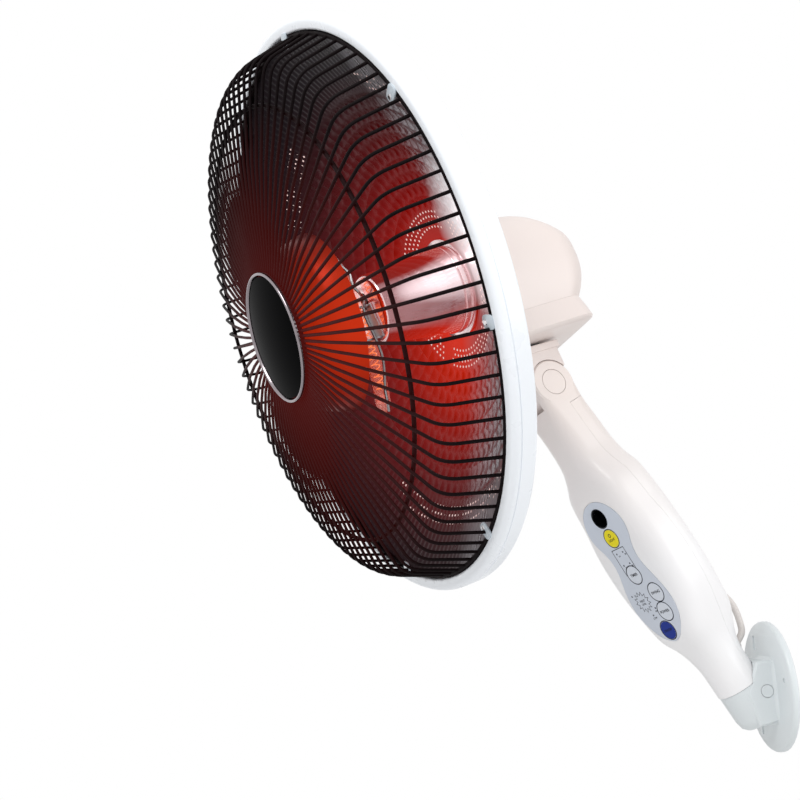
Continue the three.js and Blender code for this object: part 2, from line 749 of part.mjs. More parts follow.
const boardFront = -BOARD_DROP;
const switchTop = boardFront + SWITCH_HEIGHT + PLUNGER_HEIGHT;
const receiverTop = boardFront + RECEIVER_HEIGHT;
const irWindow = turned([
  [0, receiverTop + GAP],
  [RECEIVER_RADIUS - 0.4, receiverTop + GAP],
  [WINDOW_RADIUS - 1.4, -2.6],
  [WINDOW_RADIUS, -2.2],
  [WINDOW_RADIUS, 0.3],
  [WINDOW_RADIUS - 1.6, WINDOW_PROUD * 0.75],
  [0, WINDOW_PROUD],
]);
piece(
  arm,
  "receiver_window",
  onFace(irWindow.translate([0, alongFace(WINDOW_RISE), 0])),
  GLOSS_BLACK,
);

function controlBoard() {
  const start = alongFace(BOARD_START);
  const end = alongFace(BOARD_END);
  const sheet = block(
    -BOARD_WIDTH / 2,
    start,
    boardFront - BOARD_THICKNESS,
    BOARD_WIDTH / 2,
    end,
    boardFront,
  );
  const half = SWITCH_SIDE / 2;
  const bodyTop = boardFront + SWITCH_HEIGHT;
  const sunk = BOARD_THICKNESS / 3; // what stands on the board starts inside it
  const switches = KEYS.flatMap(([, x, rise]) => {
    const place = [x, alongFace(rise), 0];
    const housing = block(-half, -half, boardFront - sunk, half, half, bodyTop);
    const plunger = rod(PLUNGER_RADIUS, bodyTop - sunk, switchTop, 10);
    return [housing.translate(place), plunger.translate(place)];
  });
  // Tabs at the board's sides reach out to the shell's side walls.
  const tabs = BOARD_TABS.map((share) => {
    const y = THREE.MathUtils.lerp(start, end, share);
    const low = y - TAB_WIDTH / 2;
    const high = y + TAB_WIDTH / 2;
    return block(-TAB_REACH, low, boardFront - BOARD_THICKNESS, TAB_REACH, high, boardFront);
  });
  const receiver = rod(RECEIVER_RADIUS, boardFront - sunk, receiverTop, 16);
  const receiverPlace = [0, alongFace(WINDOW_RISE), 0];
  return onFace(join(sheet, ...tabs, ...switches, receiver.translate(receiverPlace)));
}
piece(arm, "control_board", controlBoard(), BOARD);

for (const [name, x, rise, color] of KEYS) {
  const y = alongFace(rise);
  const key = turned([
    [0, switchTop + KEY_TRAVEL + 0.2],
    [KEY_STEM, switchTop + KEY_TRAVEL + 0.2],
    [KEY_STEM, -KEY_DEPTH],
    [KEY_RADIUS, -KEY_DEPTH],
    [KEY_RADIUS, KEY_PROUD * 0.4],
    [KEY_RADIUS - 0.7, KEY_PROUD],
    [0, KEY_PROUD],
  ]);
  piece(arm, name, onFace(key.translate([x, y, 0])), finish(color, 0.5));
}

// The spigot is fixed in the arm's lower tube and turns in the socket.
const spigotSeat = TUBE_RADIUS - ARM_WALL - 1.6;
const spigot = turnedRing([
  [SPIGOT_BORE, -SPIGOT_DEPTH],
  [SPIGOT_RADIUS, -SPIGOT_DEPTH],
  [SPIGOT_RADIUS, GROOVE_HEIGHT - GROOVE_WIDTH / 2],
  [GROOVE_RADIUS, GROOVE_HEIGHT - GROOVE_WIDTH / 2],
  [GROOVE_RADIUS, GROOVE_HEIGHT + GROOVE_WIDTH / 2],
  [SPIGOT_RADIUS, GROOVE_HEIGHT + GROOVE_WIDTH / 2],
  [SPIGOT_RADIUS, SEAM + 2],
  [spigotSeat, SEAM + 2],
  [spigotSeat, SEAM + 2 + SPIGOT_FLANGE],
  [SPIGOT_RADIUS, SEAM + 2 + SPIGOT_FLANGE],
  [SPIGOT_RADIUS, SPIGOT_TOP],
  [SPIGOT_BORE, SPIGOT_TOP],
]);
piece(arm, "swivel_spigot", spigot, STEEL);

// The lead leaves the arm's back through a collar, bows out and goes in again lower down.
const leadRoute = [
  [leadSeat(LEAD_TOP) - 1, LEAD_TOP],
  [leadSeat(LEAD_TOP) + 6, LEAD_TOP - 0.5],
  [LEAD_PROUD - 3.5, LEAD_TOP - 5],
  [LEAD_PROUD - 0.6, LEAD_TOP - 12],
  [LEAD_PROUD, LEAD_TOP - 20],
  [LEAD_PROUD - 2.5, LEAD_TOP - 29],
  [LEAD_PROUD - 7, LEAD_TOP - 37],
  [leadSeat(LEAD_BOTTOM) + 5.5, LEAD_BOTTOM + 1],
  [leadSeat(LEAD_BOTTOM) - 1, LEAD_BOTTOM],
];
const leadCurve = new THREE.CatmullRomCurve3(
  leadRoute.map(([back, height]) => new THREE.Vector3(0, back, height)),
);
piece(arm, "bridging_lead", swept(leadCurve, LEAD_RADIUS, 5, 18), RUBBER);
for (const [name, height] of [["lead_collar_upper", LEAD_TOP], ["lead_collar_lower", LEAD_BOTTOM]]) {
  const collar = cut(
    leadCollar(height, COLLAR_RADIUS),
    swept(leadCurve, LEAD_RADIUS + GAP, 5, 18),
    leadCollar(height, LEAD_RADIUS + GAP),
  );
  piece(arm, name, collar, RUBBER);
}

// Tilt bolt, its nut, friction washers and covers, all on the tilt axis.
const tiltAxis = [TILT_BACK, ARM_LENGTH];
const headInner = KNUCKLE_HALF - CAP_THICKNESS - 2 * GAP;
const nutInner = headInner - BOLT_HEAD + GAP;
const bolt = join(
  crossRod(BOLT_RADIUS, -headInner, headInner - BOLT_HEAD / 2, ...tiltAxis, 20),
  crossRod(BOLT_HEAD_RADIUS, headInner - BOLT_HEAD + GAP, headInner, ...tiltAxis, 20),
);
piece(arm, "tilt_bolt", bolt, STEEL);
const nut = cut(
  crossRod(BOLT_HEAD_RADIUS, -headInner, -nutInner, ...tiltAxis, 6),
  crossRod(BOLT_RADIUS + 0.05, -FAR, 0, ...tiltAxis, 20),
);
piece(arm, "tilt_nut", nut, STEEL);
const capOuter = KNUCKLE_HALF + 0.1;
const capRight = crossRod(CAP_RADIUS, KNUCKLE_HALF - CAP_THICKNESS, capOuter, ...tiltAxis, 32);
const capLeft = crossRod(CAP_RADIUS, -capOuter, CAP_THICKNESS - KNUCKLE_HALF, ...tiltAxis, 32);
piece(arm, "knuckle_cap_right", capRight, CREAM);
piece(arm, "knuckle_cap_left", capLeft, CREAM);

// ================================================================ neck
const neck = new THREE.Group();
neck.position.set(0, TILT_BACK, ARM_LENGTH);
neck.rotation.x = radians(-TILT_REST);
arm.add(neck);

const washerSeat = WASHER_THICKNESS + GAP;

function neckBlock() {
  const tongue = crossRod(TONGUE_RADIUS, -TONGUE_HALF, TONGUE_HALF, 0, 0, 28);
  const stem = block(-TONGUE_HALF, -TONGUE_RADIUS + 0.6, 0, TONGUE_HALF, TONGUE_RADIUS, 20);
  const shoulders = loft([
    roundedRing(4, KNUCKLE_HALF - 0.4, TONGUE_RADIUS - 0.2, TONGUE_RADIUS + 0.6, 3),
    roundedRing(FLANGE_BOTTOM, KNUCKLE_HALF - 0.2, TONGUE_RADIUS + 0.6, TONGUE_RADIUS + 1.4, 4),
  ]);
  const flange = loft([
    roundedRing(FLANGE_BOTTOM - 0.5, FLANGE_HALF, FLANGE_FRONT, FLANGE_BACK, 5),
    roundedRing(FLANGE_TOP - 0.8, FLANGE_HALF, FLANGE_FRONT, FLANGE_BACK, 5),
    roundedRing(FLANGE_TOP, FLANGE_HALF - 0.8, FLANGE_FRONT - 0.8, FLANGE_BACK - 0.8, 4.2),
  ]);
  // Leaning back as far as it goes, the neck stays above the straight back of the arm's fork.
  const forkRoom = block(-FAR, 0, -FAR, FAR, FAR, RUN).rotate([TILT_REST + TILT_LEAN, 0, 0]);
  const cheekRoom = [
    crossRod(KNUCKLE_RADIUS + RUN, TONGUE_HALF, FAR, 0, 0, 28),
    crossRod(KNUCKLE_RADIUS + RUN, -FAR, -TONGUE_HALF, 0, 0, 28),
  ];
  const boltWay = crossRod(BOLT_RADIUS + GAP, -FAR, FAR, 0, 0);
  const washerWays = [-1, 1].map((sign) => {
    const start = sign > 0 ? TONGUE_HALF - washerSeat + GAP : -TONGUE_HALF - THROUGH;
    const reach = washerSeat - GAP + THROUGH;
    return crossRod(WASHER_RADIUS + GAP, start, start + reach, 0, 0);
  });
  const shaftWay = rod(SHAFT_RADIUS + GAP, SHAFT_FOOT, FLANGE_TOP + THROUGH);
  const upper = cut(join(stem, shoulders, flange), forkRoom);
  return cut(join(tongue, upper), ...cheekRoom, boltWay, ...washerWays, shaftWay);
}
piece(neck, "neck_block", neckBlock(), CREAM);

for (const [name, sign] of [["friction_washer_right", 1], ["friction_washer_left", -1]]) {
  const inner = TONGUE_HALF - WASHER_THICKNESS + GAP / 2;
  const outer = TONGUE_HALF + GAP / 2;
  const disc = crossRod(WASHER_RADIUS, sign > 0 ? inner : -outer, sign > 0 ? outer : -inner, 0, 0);
  piece(neck, name, cut(disc, crossRod(BOLT_RADIUS + GAP, -FAR, FAR, 0, 0)), DARK);
}

const clipHeight = HOUSING_BOTTOM + 12 + GAP;
const clipGroove = 1.2;
const swingShaft = turnedRing([
  [SHAFT_BORE, SHAFT_FOOT + GAP],
  [SHAFT_RADIUS, SHAFT_FOOT + GAP],
  [SHAFT_RADIUS, clipHeight],
  [SHAFT_RADIUS - clipGroove, clipHeight],
  [SHAFT_RADIUS - clipGroove, clipHeight + 2],
  [SHAFT_RADIUS, clipHeight + 2],
  [SHAFT_RADIUS, SHAFT_TOP],
  [SHAFT_BORE, SHAFT_TOP],
]);
piece(neck, "swing_shaft", swingShaft, STEEL);
const thrustWasher = turnedRing([
  [SHAFT_RADIUS + GAP, FLANGE_TOP + GAP],
  [THRUST_RADIUS, FLANGE_TOP + GAP],
  [THRUST_RADIUS, HOUSING_BOTTOM - GAP],
  [SHAFT_RADIUS + GAP, HOUSING_BOTTOM - GAP],
]);
piece(neck, "thrust_washer", thrustWasher, DARK);
const retainingClip = turnedRing([
  [SHAFT_RADIUS - clipGroove + 0.1, clipHeight + 0.4],
  [SHAFT_RADIUS + 3, clipHeight + 0.4],
  [SHAFT_RADIUS + 3, clipHeight + 1.6],
  [SHAFT_RADIUS - clipGroove + 0.1, clipHeight + 1.6],
]);
piece(neck, "retaining_clip", retainingClip, STEEL);

// ================================================================ head
const head = new THREE.Group();
head.rotation.z = radians(SWING_REST);
neck.add(head);
const dish = new THREE.Group();
dish.position.set(0, -RIM_FORWARD, DISH_HEIGHT);
dish.rotation.x = Math.PI / 2; // the dish's Z looks out of its mouth
head.add(dish);

// Depth of a paraboloid sheet below the rim plane.
function bowl(radius, depth, edge, edgeDepth) {
  return -depth + (depth - edgeDepth) * (radius / edge) ** 2;
}

function reflectorHeight(radius) {
  return bowl(radius, REFLECTOR_DEPTH, REFLECTOR_EDGE, REFLECTOR_EDGE_DEPTH);
}

function backHeight(radius) {
  return bowl(radius, BACK_DEPTH, BACK_EDGE, BACK_EDGE_DEPTH);
}

// The dish's outside in the head's frame, with a gap, to be cut out of what stands behind it.
function dishEnvelope(gap, sides = DISH_SIDES) {
  const profile = [[0, 40]];
  profile.push([BACK_EDGE, 40]);
  for (const radius of [BACK_EDGE, ...BACK_RADII.toReversed(), BACK_HOLE, 0]) {
    profile.push([radius, backHeight(radius) - BACK_SHEET - gap]);
  }
  const place = new THREE.Matrix4().makeRotationX(Math.PI / 2);
  place.setPosition(0, -RIM_FORWARD, DISH_HEIGHT);
  return turned(profile, sides).transform(place.elements);
}

const envelope = dishEnvelope(GAP);
const wallEnvelope = dishEnvelope(GAP + HOUSING_WALL, DISH_SIDES / 2);

function housingRings(stations, inset) {
  return stations.map(([height, half, back, corner]) =>
    roundedRing(height, half - inset, HOUSING_FRONT - inset, back - inset, corner - inset, 3),
  );
}

function swingTray(envelope) {
  const outer = loft(housingRings(TRAY_STATIONS, 0));
  const inside = housingRings(TRAY_STATIONS, HOUSING_WALL);
  const floor = HOUSING_BOTTOM + HOUSING_WALL;
  const last = inside.length - 1;
  const hollow = loft([
    inside[1].map(([x, y]) => [x, y, floor]),
    inside[2],
    inside[last].map(([x, y]) => [x, y, HOUSING_SEAM + THROUGH]),
  ]);
  const boss = rod(THRUST_RADIUS, HOUSING_BOTTOM + 1, HOUSING_BOTTOM + 12);
  const shaftWay = rod(SHAFT_RADIUS + RUN, 0, 60);
  return cut(join(cut(outer, cut(hollow, wallEnvelope)), boss), shaftWay, envelope);
}

function swingCover(envelope) {
  const outer = loft(housingRings(COVER_STATIONS, 0));
  const inside = housingRings(COVER_STATIONS, HOUSING_WALL);
  inside[0] = inside[0].map(([x, y, z]) => [x, y, z - THROUGH]);
  const hollow = loft(inside.slice(0, -1));
  const wireWay = new THREE.CylinderGeometry(WIRE_WAY, WIRE_WAY, 60, 20);
  wireWay.translate(0, -30, DISH_HEIGHT);
  return cut(outer, cut(hollow, wallEnvelope), solid(wireWay), envelope);
}

piece(head, "swing_housing_tray", swingTray(envelope), CREAM);
piece(head, "swing_housing_cover", swingCover(envelope), CREAM);

// Swing drive: geared motor, crank and link. The link's far end sits over the neck's flange.
const motorTop = MOTOR_BOTTOM + MOTOR_HEIGHT;
const crankTop = MOTOR_BOTTOM - 3;
const crankReach = CRANK_RADIUS - 3;
function swingMotor() {
  const can = turned([
    [0, MOTOR_BOTTOM],
    [MOTOR_RADIUS - 1, MOTOR_BOTTOM],
    [MOTOR_RADIUS, MOTOR_BOTTOM + 1],
    [MOTOR_RADIUS, motorTop - 1],
    [MOTOR_RADIUS - 1, motorTop],
    [0, motorTop],
  ]);
  // The bracket's ends stand against the cover's side walls.
  const ear = COVER_STATIONS[3][1] - HOUSING_WALL - GAP - 0.1;
  const ears = block(-ear, -6, motorTop - 3, ear, 6, motorTop - 1);
  const spindle = rod(2.5, crankTop - CRANK_HEIGHT, MOTOR_BOTTOM + 1, 12);
  return join(can, ears, spindle).translate([0, MOTOR_BACK, 0]);
}
piece(head, "swing_motor", swingMotor(), STEEL);
const crankDisc = cut(
  join(
    rod(CRANK_RADIUS, crankTop - CRANK_HEIGHT, crankTop - GAP),
    rod(CRANK_PIN, crankTop - CRANK_HEIGHT - 3, crankTop - 2, 12).translate([0, -crankReach, 0]),
  ),
  rod(2.5 + GAP, crankTop - 20, crankTop + 5, 12),
);
piece(head, "swing_crank", crankDisc.translate([0, MOTOR_BACK, 0]), BLACK);
function swingLink() {
  const low = crankTop - CRANK_HEIGHT - GAP - LINK_THICKNESS;
  const high = crankTop - CRANK_HEIGHT - GAP;
  const far = MOTOR_BACK - crankReach;
  const bar = new THREE.Shape();
  bar.absarc(0, far, LINK_WIDTH / 2, 0, Math.PI, false);
  bar.absarc(0, 0, LINK_WIDTH / 2, Math.PI, 2 * Math.PI, false);
  bar.closePath();
  const eye = rod(CRANK_PIN + GAP, low - 2, high + 2, 12).translate([0, far, 0]);
  const post = rod(SHAFT_RADIUS - 1, SHAFT_TOP + GAP, low + 0.5, 16);
  return join(cut(raised(bar, low, high, 0, 8), eye), post);
}
piece(head, "swing_link", swingLink(), STEEL);

// ---------------------------------------------------------------- dish pieces
function sheetOfRevolution(height, hole, radii, thickness, flange) {
  const front = radii.map((radius) => [radius, height(radius)]);
  const back = [...radii].reverse().map((radius) => [radius, height(radius) - thickness]);
  const [edge, level] = flange;
  const profile = [
    [hole, height(hole)],
    ...front,
    [edge, level],
    [edge, level - thickness],
    ...back,
    [hole, height(hole) - thickness],
  ];
  return turnedRing(profile, DISH_SIDES);
}
const reflector = sheetOfRevolution(
  reflectorHeight,
  REFLECTOR_HOLE,
  [...REFLECTOR_RADII, REFLECTOR_EDGE],
  REFLECTOR_SHEET,
  [FLANGE_OUTER, -REFLECTOR_EDGE_DEPTH + 0.9],
);
piece(dish, "reflector", reflector, REFLECTOR);
const backShell = sheetOfRevolution(
  backHeight,
  BACK_HOLE,
  [...BACK_RADII, BACK_EDGE],
  BACK_SHEET,
  [FLANGE_OUTER, -BACK_EDGE_DEPTH + 2],
);
piece(dish, "dish_back_shell", backShell, RIM_WHITE);

const rimRing = turnedRing(
  [
    [RIM_INNER, RIM_LIP_BACK],
    [RIM_INNER, RIM_FRONT - 1],
    [RIM_INNER + 1.6, RIM_FRONT],
    [RIM_OUTER - 4.5, RIM_FRONT],
    [RIM_OUTER - 1.4, RIM_FRONT - 1.2],
    [RIM_OUTER, RIM_FRONT - 4.2],
    [RIM_OUTER, RIM_BACK + 1],
    [RIM_OUTER - 0.8, RIM_BACK],
    [RIM_OUTER - RIM_SKIRT, RIM_BACK],
    [RIM_OUTER - RIM_SKIRT, RIM_LIP_BACK],
  ],
  DISH_SIDES,
);
piece(dish, "rim_ring", rimRing, RIM_WHITE);

const flangeHeight = reflectorHeight(BARREL_FLANGE) + 3 * GAP;
function chromeBarrel() {
  const inside = BARREL_SHEET;
  const shell = turned(
    [
      [0, BARREL_FRONT],
      [BARREL_FRONT_RADIUS - 3, BARREL_FRONT],
      [BARREL_FRONT_RADIUS, BARREL_FRONT - 3],
      [BARREL_RADIUS - 0.6, flangeHeight + 10],
      [BARREL_RADIUS, flangeHeight + 5],
      [BARREL_RADIUS + 0.6, flangeHeight + BARREL_SHEET],
      [BARREL_FLANGE, flangeHeight + BARREL_SHEET],
      [BARREL_FLANGE, flangeHeight],
      [BARREL_RADIUS - inside, flangeHeight],
      [BARREL_RADIUS - inside, flangeHeight + 5],
      [BARREL_RADIUS - 0.6 - inside, flangeHeight + 10],
      [BARREL_FRONT_RADIUS - inside, BARREL_FRONT - 3.4],
      [BARREL_FRONT_RADIUS - 3.4, BARREL_FRONT - inside],
      [0, BARREL_FRONT - inside],
    ],
    DISH_SIDES - 8,
  );
  const hole = rod(BARREL_HOLE, BARREL_FRONT - 5, BARREL_FRONT + 5);
  return cut(shell, hole.translate([0, BARREL_HOLE_RISE, 0]));
}
piece(dish, "chrome_barrel", chromeBarrel(), CHROME);

// The element lies in the dish's upright plane, its middle bowed towards the barrel.
function elementPoint(share) {
  const y = TUBE_CENTRE + TUBE_HALF * share;
  const z = TUBE_PLANE - TUBE_BOW * (1 - share * share) - TUBE_LEAN * share;
  return new THREE.Vector3(0, y, z);
}
class ElementAxis extends THREE.Curve {
  getPoint(t, target = new THREE.Vector3()) {
    return target.copy(elementPoint(2 * t - 1));
  }
}
const elementAxis = new ElementAxis();
piece(
  dish,
  "quartz_tube",
  swept(elementAxis, TUBE_OUTER, 6, 7, TUBE_OUTER - TUBE_WALL),
  QUARTZ,
);

// One unbroken helix about the bowed axis, joined ring by ring.
function heatingCoil() {
  const rings = [];
  const total = COIL_TURNS * COIL_STEPS;
  const reach = 1 - COIL_END / TUBE_HALF;
  const centreAt = (i) => {
    const angle = (2 * Math.PI * i) / COIL_STEPS;
    const middle = elementPoint(THREE.MathUtils.lerp(-reach, reach, i / total));
    return middle.add(
      new THREE.Vector3(COIL_RADIUS * Math.cos(angle), 0, COIL_RADIUS * Math.sin(angle)),
    );
  };
  const centres = Array.from({ length: total + 1 }, (_, i) => centreAt(i));
  for (let i = 0; i <= total; i++) {
    const angle = (2 * Math.PI * i) / COIL_STEPS;
    const before = centres[Math.max(i - 1, 0)];
    const after = centres[Math.min(i + 1, total)];
    const along = after.clone().sub(before).normalize();
    const out = new THREE.Vector3(Math.cos(angle), 0, Math.sin(angle));
    out.addScaledVector(along, -out.dot(along)).normalize();
    const side = along.clone().cross(out);
    const ring = [];
    for (let j = 0; j < COIL_SIDES; j++) {
      const turn = (2 * Math.PI * j) / COIL_SIDES;
      const point = centres[i].clone();
      point.addScaledVector(out, COIL_WIRE * Math.cos(turn));
      point.addScaledVector(side, COIL_WIRE * Math.sin(turn));
      ring.push(point.toArray());
    }
    rings.push(ring);
  }
  // The least gap from each turn to the next, measured between centre lines less the wire.
  let least = Infinity;
  for (let i = 0; i + COIL_STEPS <= total; i++) {
    least = Math.min(least, centres[i].distanceTo(centres[i + COIL_STEPS]) - 2 * COIL_WIRE);
  }
  console.log("heating coil: " + COIL_TURNS + " turns, least gap " + least.toFixed(2) + " mm");
  return loft(rings);
}
piece(dish, "heating_coil", heatingCoil(), GLOW);

for (const [name, sign] of [["element_cap_upper", 1], ["element_cap_lower", -1]]) {
  const end = elementPoint(sign);
  const tangent = elementPoint(sign).sub(elementPoint(0.9 * sign)).normalize();
  const plug = TUBE_OUTER - TUBE_WALL - GAP;
  const cap = turned([
    [0, -CAP_PLUG],
    [plug, -CAP_PLUG],
    [plug, GAP],
    [TUBE_OUTER, GAP],
    [TUBE_OUTER - 0.6, 2.5],
    [CAP_TIP + 0.8, CAP_LENGTH - 3.5],
    [CAP_TIP, CAP_LENGTH],
    [0, CAP_LENGTH],
  ], 16);
  const turn = new THREE.Quaternion().setFromUnitVectors(new THREE.Vector3(0, 0, 1), tangent);
  const place = new THREE.Matrix4().makeRotationFromQuaternion(turn).setPosition(end);
  piece(dish, name, cap.transform(place.elements), QUARTZ);
}

// A strip on the barrel's front, bent forwards at each end to cradle the tube.
function elementCarrier() {
  const seat = BARREL_FRONT + GAP;
  const inner = seat + CARRIER_SHEET;
  const reach = TUBE_PLANE + 2;
  const strip = new THREE.Shape();
  strip.moveTo(CARRIER_BOTTOM, seat);
  strip.lineTo(CARRIER_TOP, seat);
  strip.lineTo(CARRIER_TOP, reach);
  strip.lineTo(CARRIER_TOP - CARRIER_SHEET, reach);
  strip.lineTo(CARRIER_TOP - CARRIER_SHEET, inner);
  strip.lineTo(CARRIER_BOTTOM + CARRIER_SHEET, inner);
  strip.lineTo(CARRIER_BOTTOM + CARRIER_SHEET, reach);
  strip.lineTo(CARRIER_BOTTOM, reach);
  strip.closePath();
  const half = CARRIER_WIDTH / 2;
  const bar = raised(strip, -half, half).transform(sideways.elements);
  const tubeWay = swept(elementAxis, TUBE_OUTER + GAP, 6, 7);
  const hole = rod(BARREL_HOLE + 1, -FAR, inner + 0.5).translate([0, BARREL_HOLE_RISE, 0]);
  const fork = FORK_WIDTH / 2;
  const beside = [
    block(fork, -FAR, inner + 0.4, FAR, FAR, FAR),
    block(-FAR, -FAR, inner + 0.4, -fork, FAR, FAR),
  ];
  return cut(bar, tubeWay, hole, ...beside);
}
piece(dish, "element_carrier", elementCarrier(), STEEL);

const baseTop = flangeHeight + 8 + BASE_HEIGHT;
const ceramicBase = turned([
  [0, baseTop - BASE_HEIGHT],
  [BASE_RADIUS, baseTop - BASE_HEIGHT],
  [BASE_RADIUS + 2, baseTop - BASE_HEIGHT + 2],
  [BASE_RADIUS + 2, baseTop - 6],
  [BASE_RADIUS - 4, baseTop],
  [0, baseTop],
], 28);
piece(dish, "ceramic_base", ceramicBase, CERAMIC);
// Each wire runs from the base out of the barrel's hole and beside the tube to its end cap.
for (const [name, sign] of [["element_wire_upper", 1], ["element_wire_lower", -1]]) {
  const tip = elementPoint(sign);
  const beside = FORK_WIDTH / 2 + LEAD_WIRE + GAP;
  const rise = BARREL_HOLE_RISE + sign * 2.4;
  const wire = new THREE.CatmullRomCurve3(
    [
      [0, rise, baseTop + GAP],
      [0, rise, BARREL_FRONT - 8],
      [beside * 0.5, rise, BARREL_FRONT + 1.8],
      [beside + 0.6, rise + sign * 1.2, BARREL_FRONT + 5],
      [beside + 0.8, rise + sign * 8, BARREL_FRONT + 8],
      [beside + 0.4, THREE.MathUtils.lerp(rise, tip.y, 0.6), elementPoint(sign * 0.3).z - 2],
      [beside - 1, tip.y - sign * 4, tip.z - 1],
      [beside - 1.4, tip.y + sign * 2, tip.z],
      [CAP_TIP + LEAD_WIRE + 2.3, tip.y + sign * (CAP_LENGTH - 3), tip.z],
      [CAP_TIP + LEAD_WIRE + 0.6, tip.y + sign * (CAP_LENGTH - 0.5), tip.z],
    ].map(([x, y, z]) => new THREE.Vector3(x, y, z)),
  );
  piece(dish, name, swept(wire, LEAD_WIRE, 3, 18), STEEL);
}

const cutOutTop = baseTop - BASE_HEIGHT - GAP;
const cutOut = rod(7, cutOutTop - 6, cutOutTop, 16).translate([0, -10, 0]);
piece(dish, "thermal_cut_out", cutOut, DARK);

// ---------------------------------------------------------------- guard
// One wire's centre line, from the edge ring round the knee and in over the dome to the hub.
const wireLine = [
  [GUARD_EDGE, GUARD_EDGE_DEPTH],
  [KNEE_RADIUS, KNEE_HEIGHT],
  [MID_RADIUS, MID_HEIGHT],
  [HUB_RADIUS - 2, HUB_HEIGHT - HUB_THICKNESS / 2],
];

// A three-sided wire in the plane through the dish's axis, flat at its back.
function guardWire() {
  const rings = wireLine.map(([radius, height], i) => {
    const [r0, z0] = wireLine[Math.max(i - 1, 0)];
    const [r1, z1] = wireLine[Math.min(i + 1, wireLine.length - 1)];
    const length = Math.hypot(r1 - r0, z1 - z0);
    const forward = [(z1 - z0) / length, (r0 - r1) / length];
    const at = (shift, side) => [radius + forward[0] * shift, side, height + forward[1] * shift];
    return [at(-WIRE_BACK, -WIRE / 2), at(WIRE - WIRE_BACK, 0), at(-WIRE_BACK, WIRE / 2)];
  });
  return loft(rings);
}

function hoop(radius, height, size) {
  const half = size / 2;
  return turnedRing(
    [
      [radius - half, height],
      [radius, height - half],
      [radius + half, height],
      [radius, height + half],
    ],
    HOOP_SIDES,
  );
}

function guardWires() {
  const wire = guardWire();
  const step = 360 / WIRES;
  const copies = Array.from({ length: WIRES }, (_, i) => wire.rotate([0, 0, i * step]));
  const hub = turned(
    [
      [0, HUB_HEIGHT - HUB_THICKNESS],
      [HUB_RADIUS - 1, HUB_HEIGHT - HUB_THICKNESS],
      [HUB_RADIUS, HUB_HEIGHT - HUB_THICKNESS / 2],
      [HUB_RADIUS, HUB_HEIGHT],
      [0, HUB_HEIGHT],
    ],
    36,
  );
  // The corners of ring and hub stand between the wires.
  const between = [0, 0, step / 2];
  const edge = hoop(GUARD_EDGE, GUARD_EDGE_DEPTH, GUARD_RING).rotate(between);
  return join(hub.rotate(between), edge, ...copies);
}
piece(dish, "guard", guardWires(), BLACK);
const middleRing = hoop(MID_RADIUS, MID_HEIGHT - WIRE_BACK - MID_RING / 2 - GAP, MID_RING);
piece(dish, "guard_middle_ring", middleRing, BLACK);

const badge = turned([
  [0, HUB_HEIGHT + GAP],
  [BADGE_RADIUS, HUB_HEIGHT + GAP],
  [BADGE_RADIUS, HUB_HEIGHT + GAP + BADGE_EDGE],
  [BADGE_RADIUS * 0.72, HUB_HEIGHT + BADGE_EDGE + BADGE_DOME * 0.55],
  [BADGE_RADIUS * 0.38, HUB_HEIGHT + BADGE_EDGE + BADGE_DOME * 0.88],
  [0, HUB_HEIGHT + BADGE_EDGE + BADGE_DOME],
], 36);
piece(dish, "badge", badge, GLOSS_BLACK);
const bezelInner = BADGE_RADIUS + GAP;
const bezelOuter = bezelInner + BEZEL_WIDTH;
const bezel = turnedRing([
  [bezelInner, HUB_HEIGHT + GAP],
  [bezelOuter, HUB_HEIGHT + GAP],
  [bezelOuter - 0.4, HUB_HEIGHT + GAP + BEZEL_HEIGHT * 0.6],
  [bezelOuter - BEZEL_WIDTH / 2, HUB_HEIGHT + GAP + BEZEL_HEIGHT],
  [bezelInner, HUB_HEIGHT + GAP + BEZEL_HEIGHT * 0.6],
], 36);
piece(dish, "badge_bezel", bezel, CHROME);

// A round cup behind the hub throws the element's light back into the dish.
const cupCorner = [CUP_RADIUS - 6, CUP_FRONT - 10];
const cupShell = turned([
  [0, CUP_FRONT],
  [CUP_TOP_RADIUS, CUP_FRONT],
  cupCorner,
  [CUP_RADIUS, CUP_REAR],
  [CUP_RADIUS - CUP_SHEET, CUP_REAR],
  [cupCorner[0] - CUP_SHEET, cupCorner[1] - 0.5],
  [CUP_TOP_RADIUS - 0.5, CUP_FRONT - CUP_SHEET],
  [0, CUP_FRONT - CUP_SHEET],
], 36);
const cupPost = rod(CUP_POST, CUP_FRONT - 0.5, HUB_HEIGHT - HUB_THICKNESS - GAP, 16);
piece(dish, "front_cup", join(cupShell, cupPost), REFLECTOR);

// Clips on the rim's inner edge hold the guard's edge ring.
for (let i = 0; i < CLIPS; i++) {
  const low = GUARD_EDGE_DEPTH + GUARD_RING / 2 + GAP;
  const outerEdge = RIM_INNER + CLIP_HOLD;
  const innerEdge = outerEdge - CLIP_LENGTH;
  const lowest = Math.max(low, RIM_FRONT + GAP);
  const tab = loft([
    roundedRing(lowest, CLIP_WIDTH / 2, -innerEdge, outerEdge, 4, 3),
    roundedRing(lowest + CLIP_THICKNESS, CLIP_WIDTH / 2 - 0.5, -innerEdge - 0.5, outerEdge - 0.5, 4, 3),
  ]);
  // Drawn along +Y, then turned from there to its place between two of the guard's wires.
  const placed = tab.rotate([0, 0, CLIP_START - 90 + (360 * i) / CLIPS]);
  piece(dish, "guard_clip_" + (i + 1), placed, GREY_PLASTIC);
}

export default heater;
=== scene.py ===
import json
import math

import bmesh
import bpy
from mathutils import Matrix, Vector


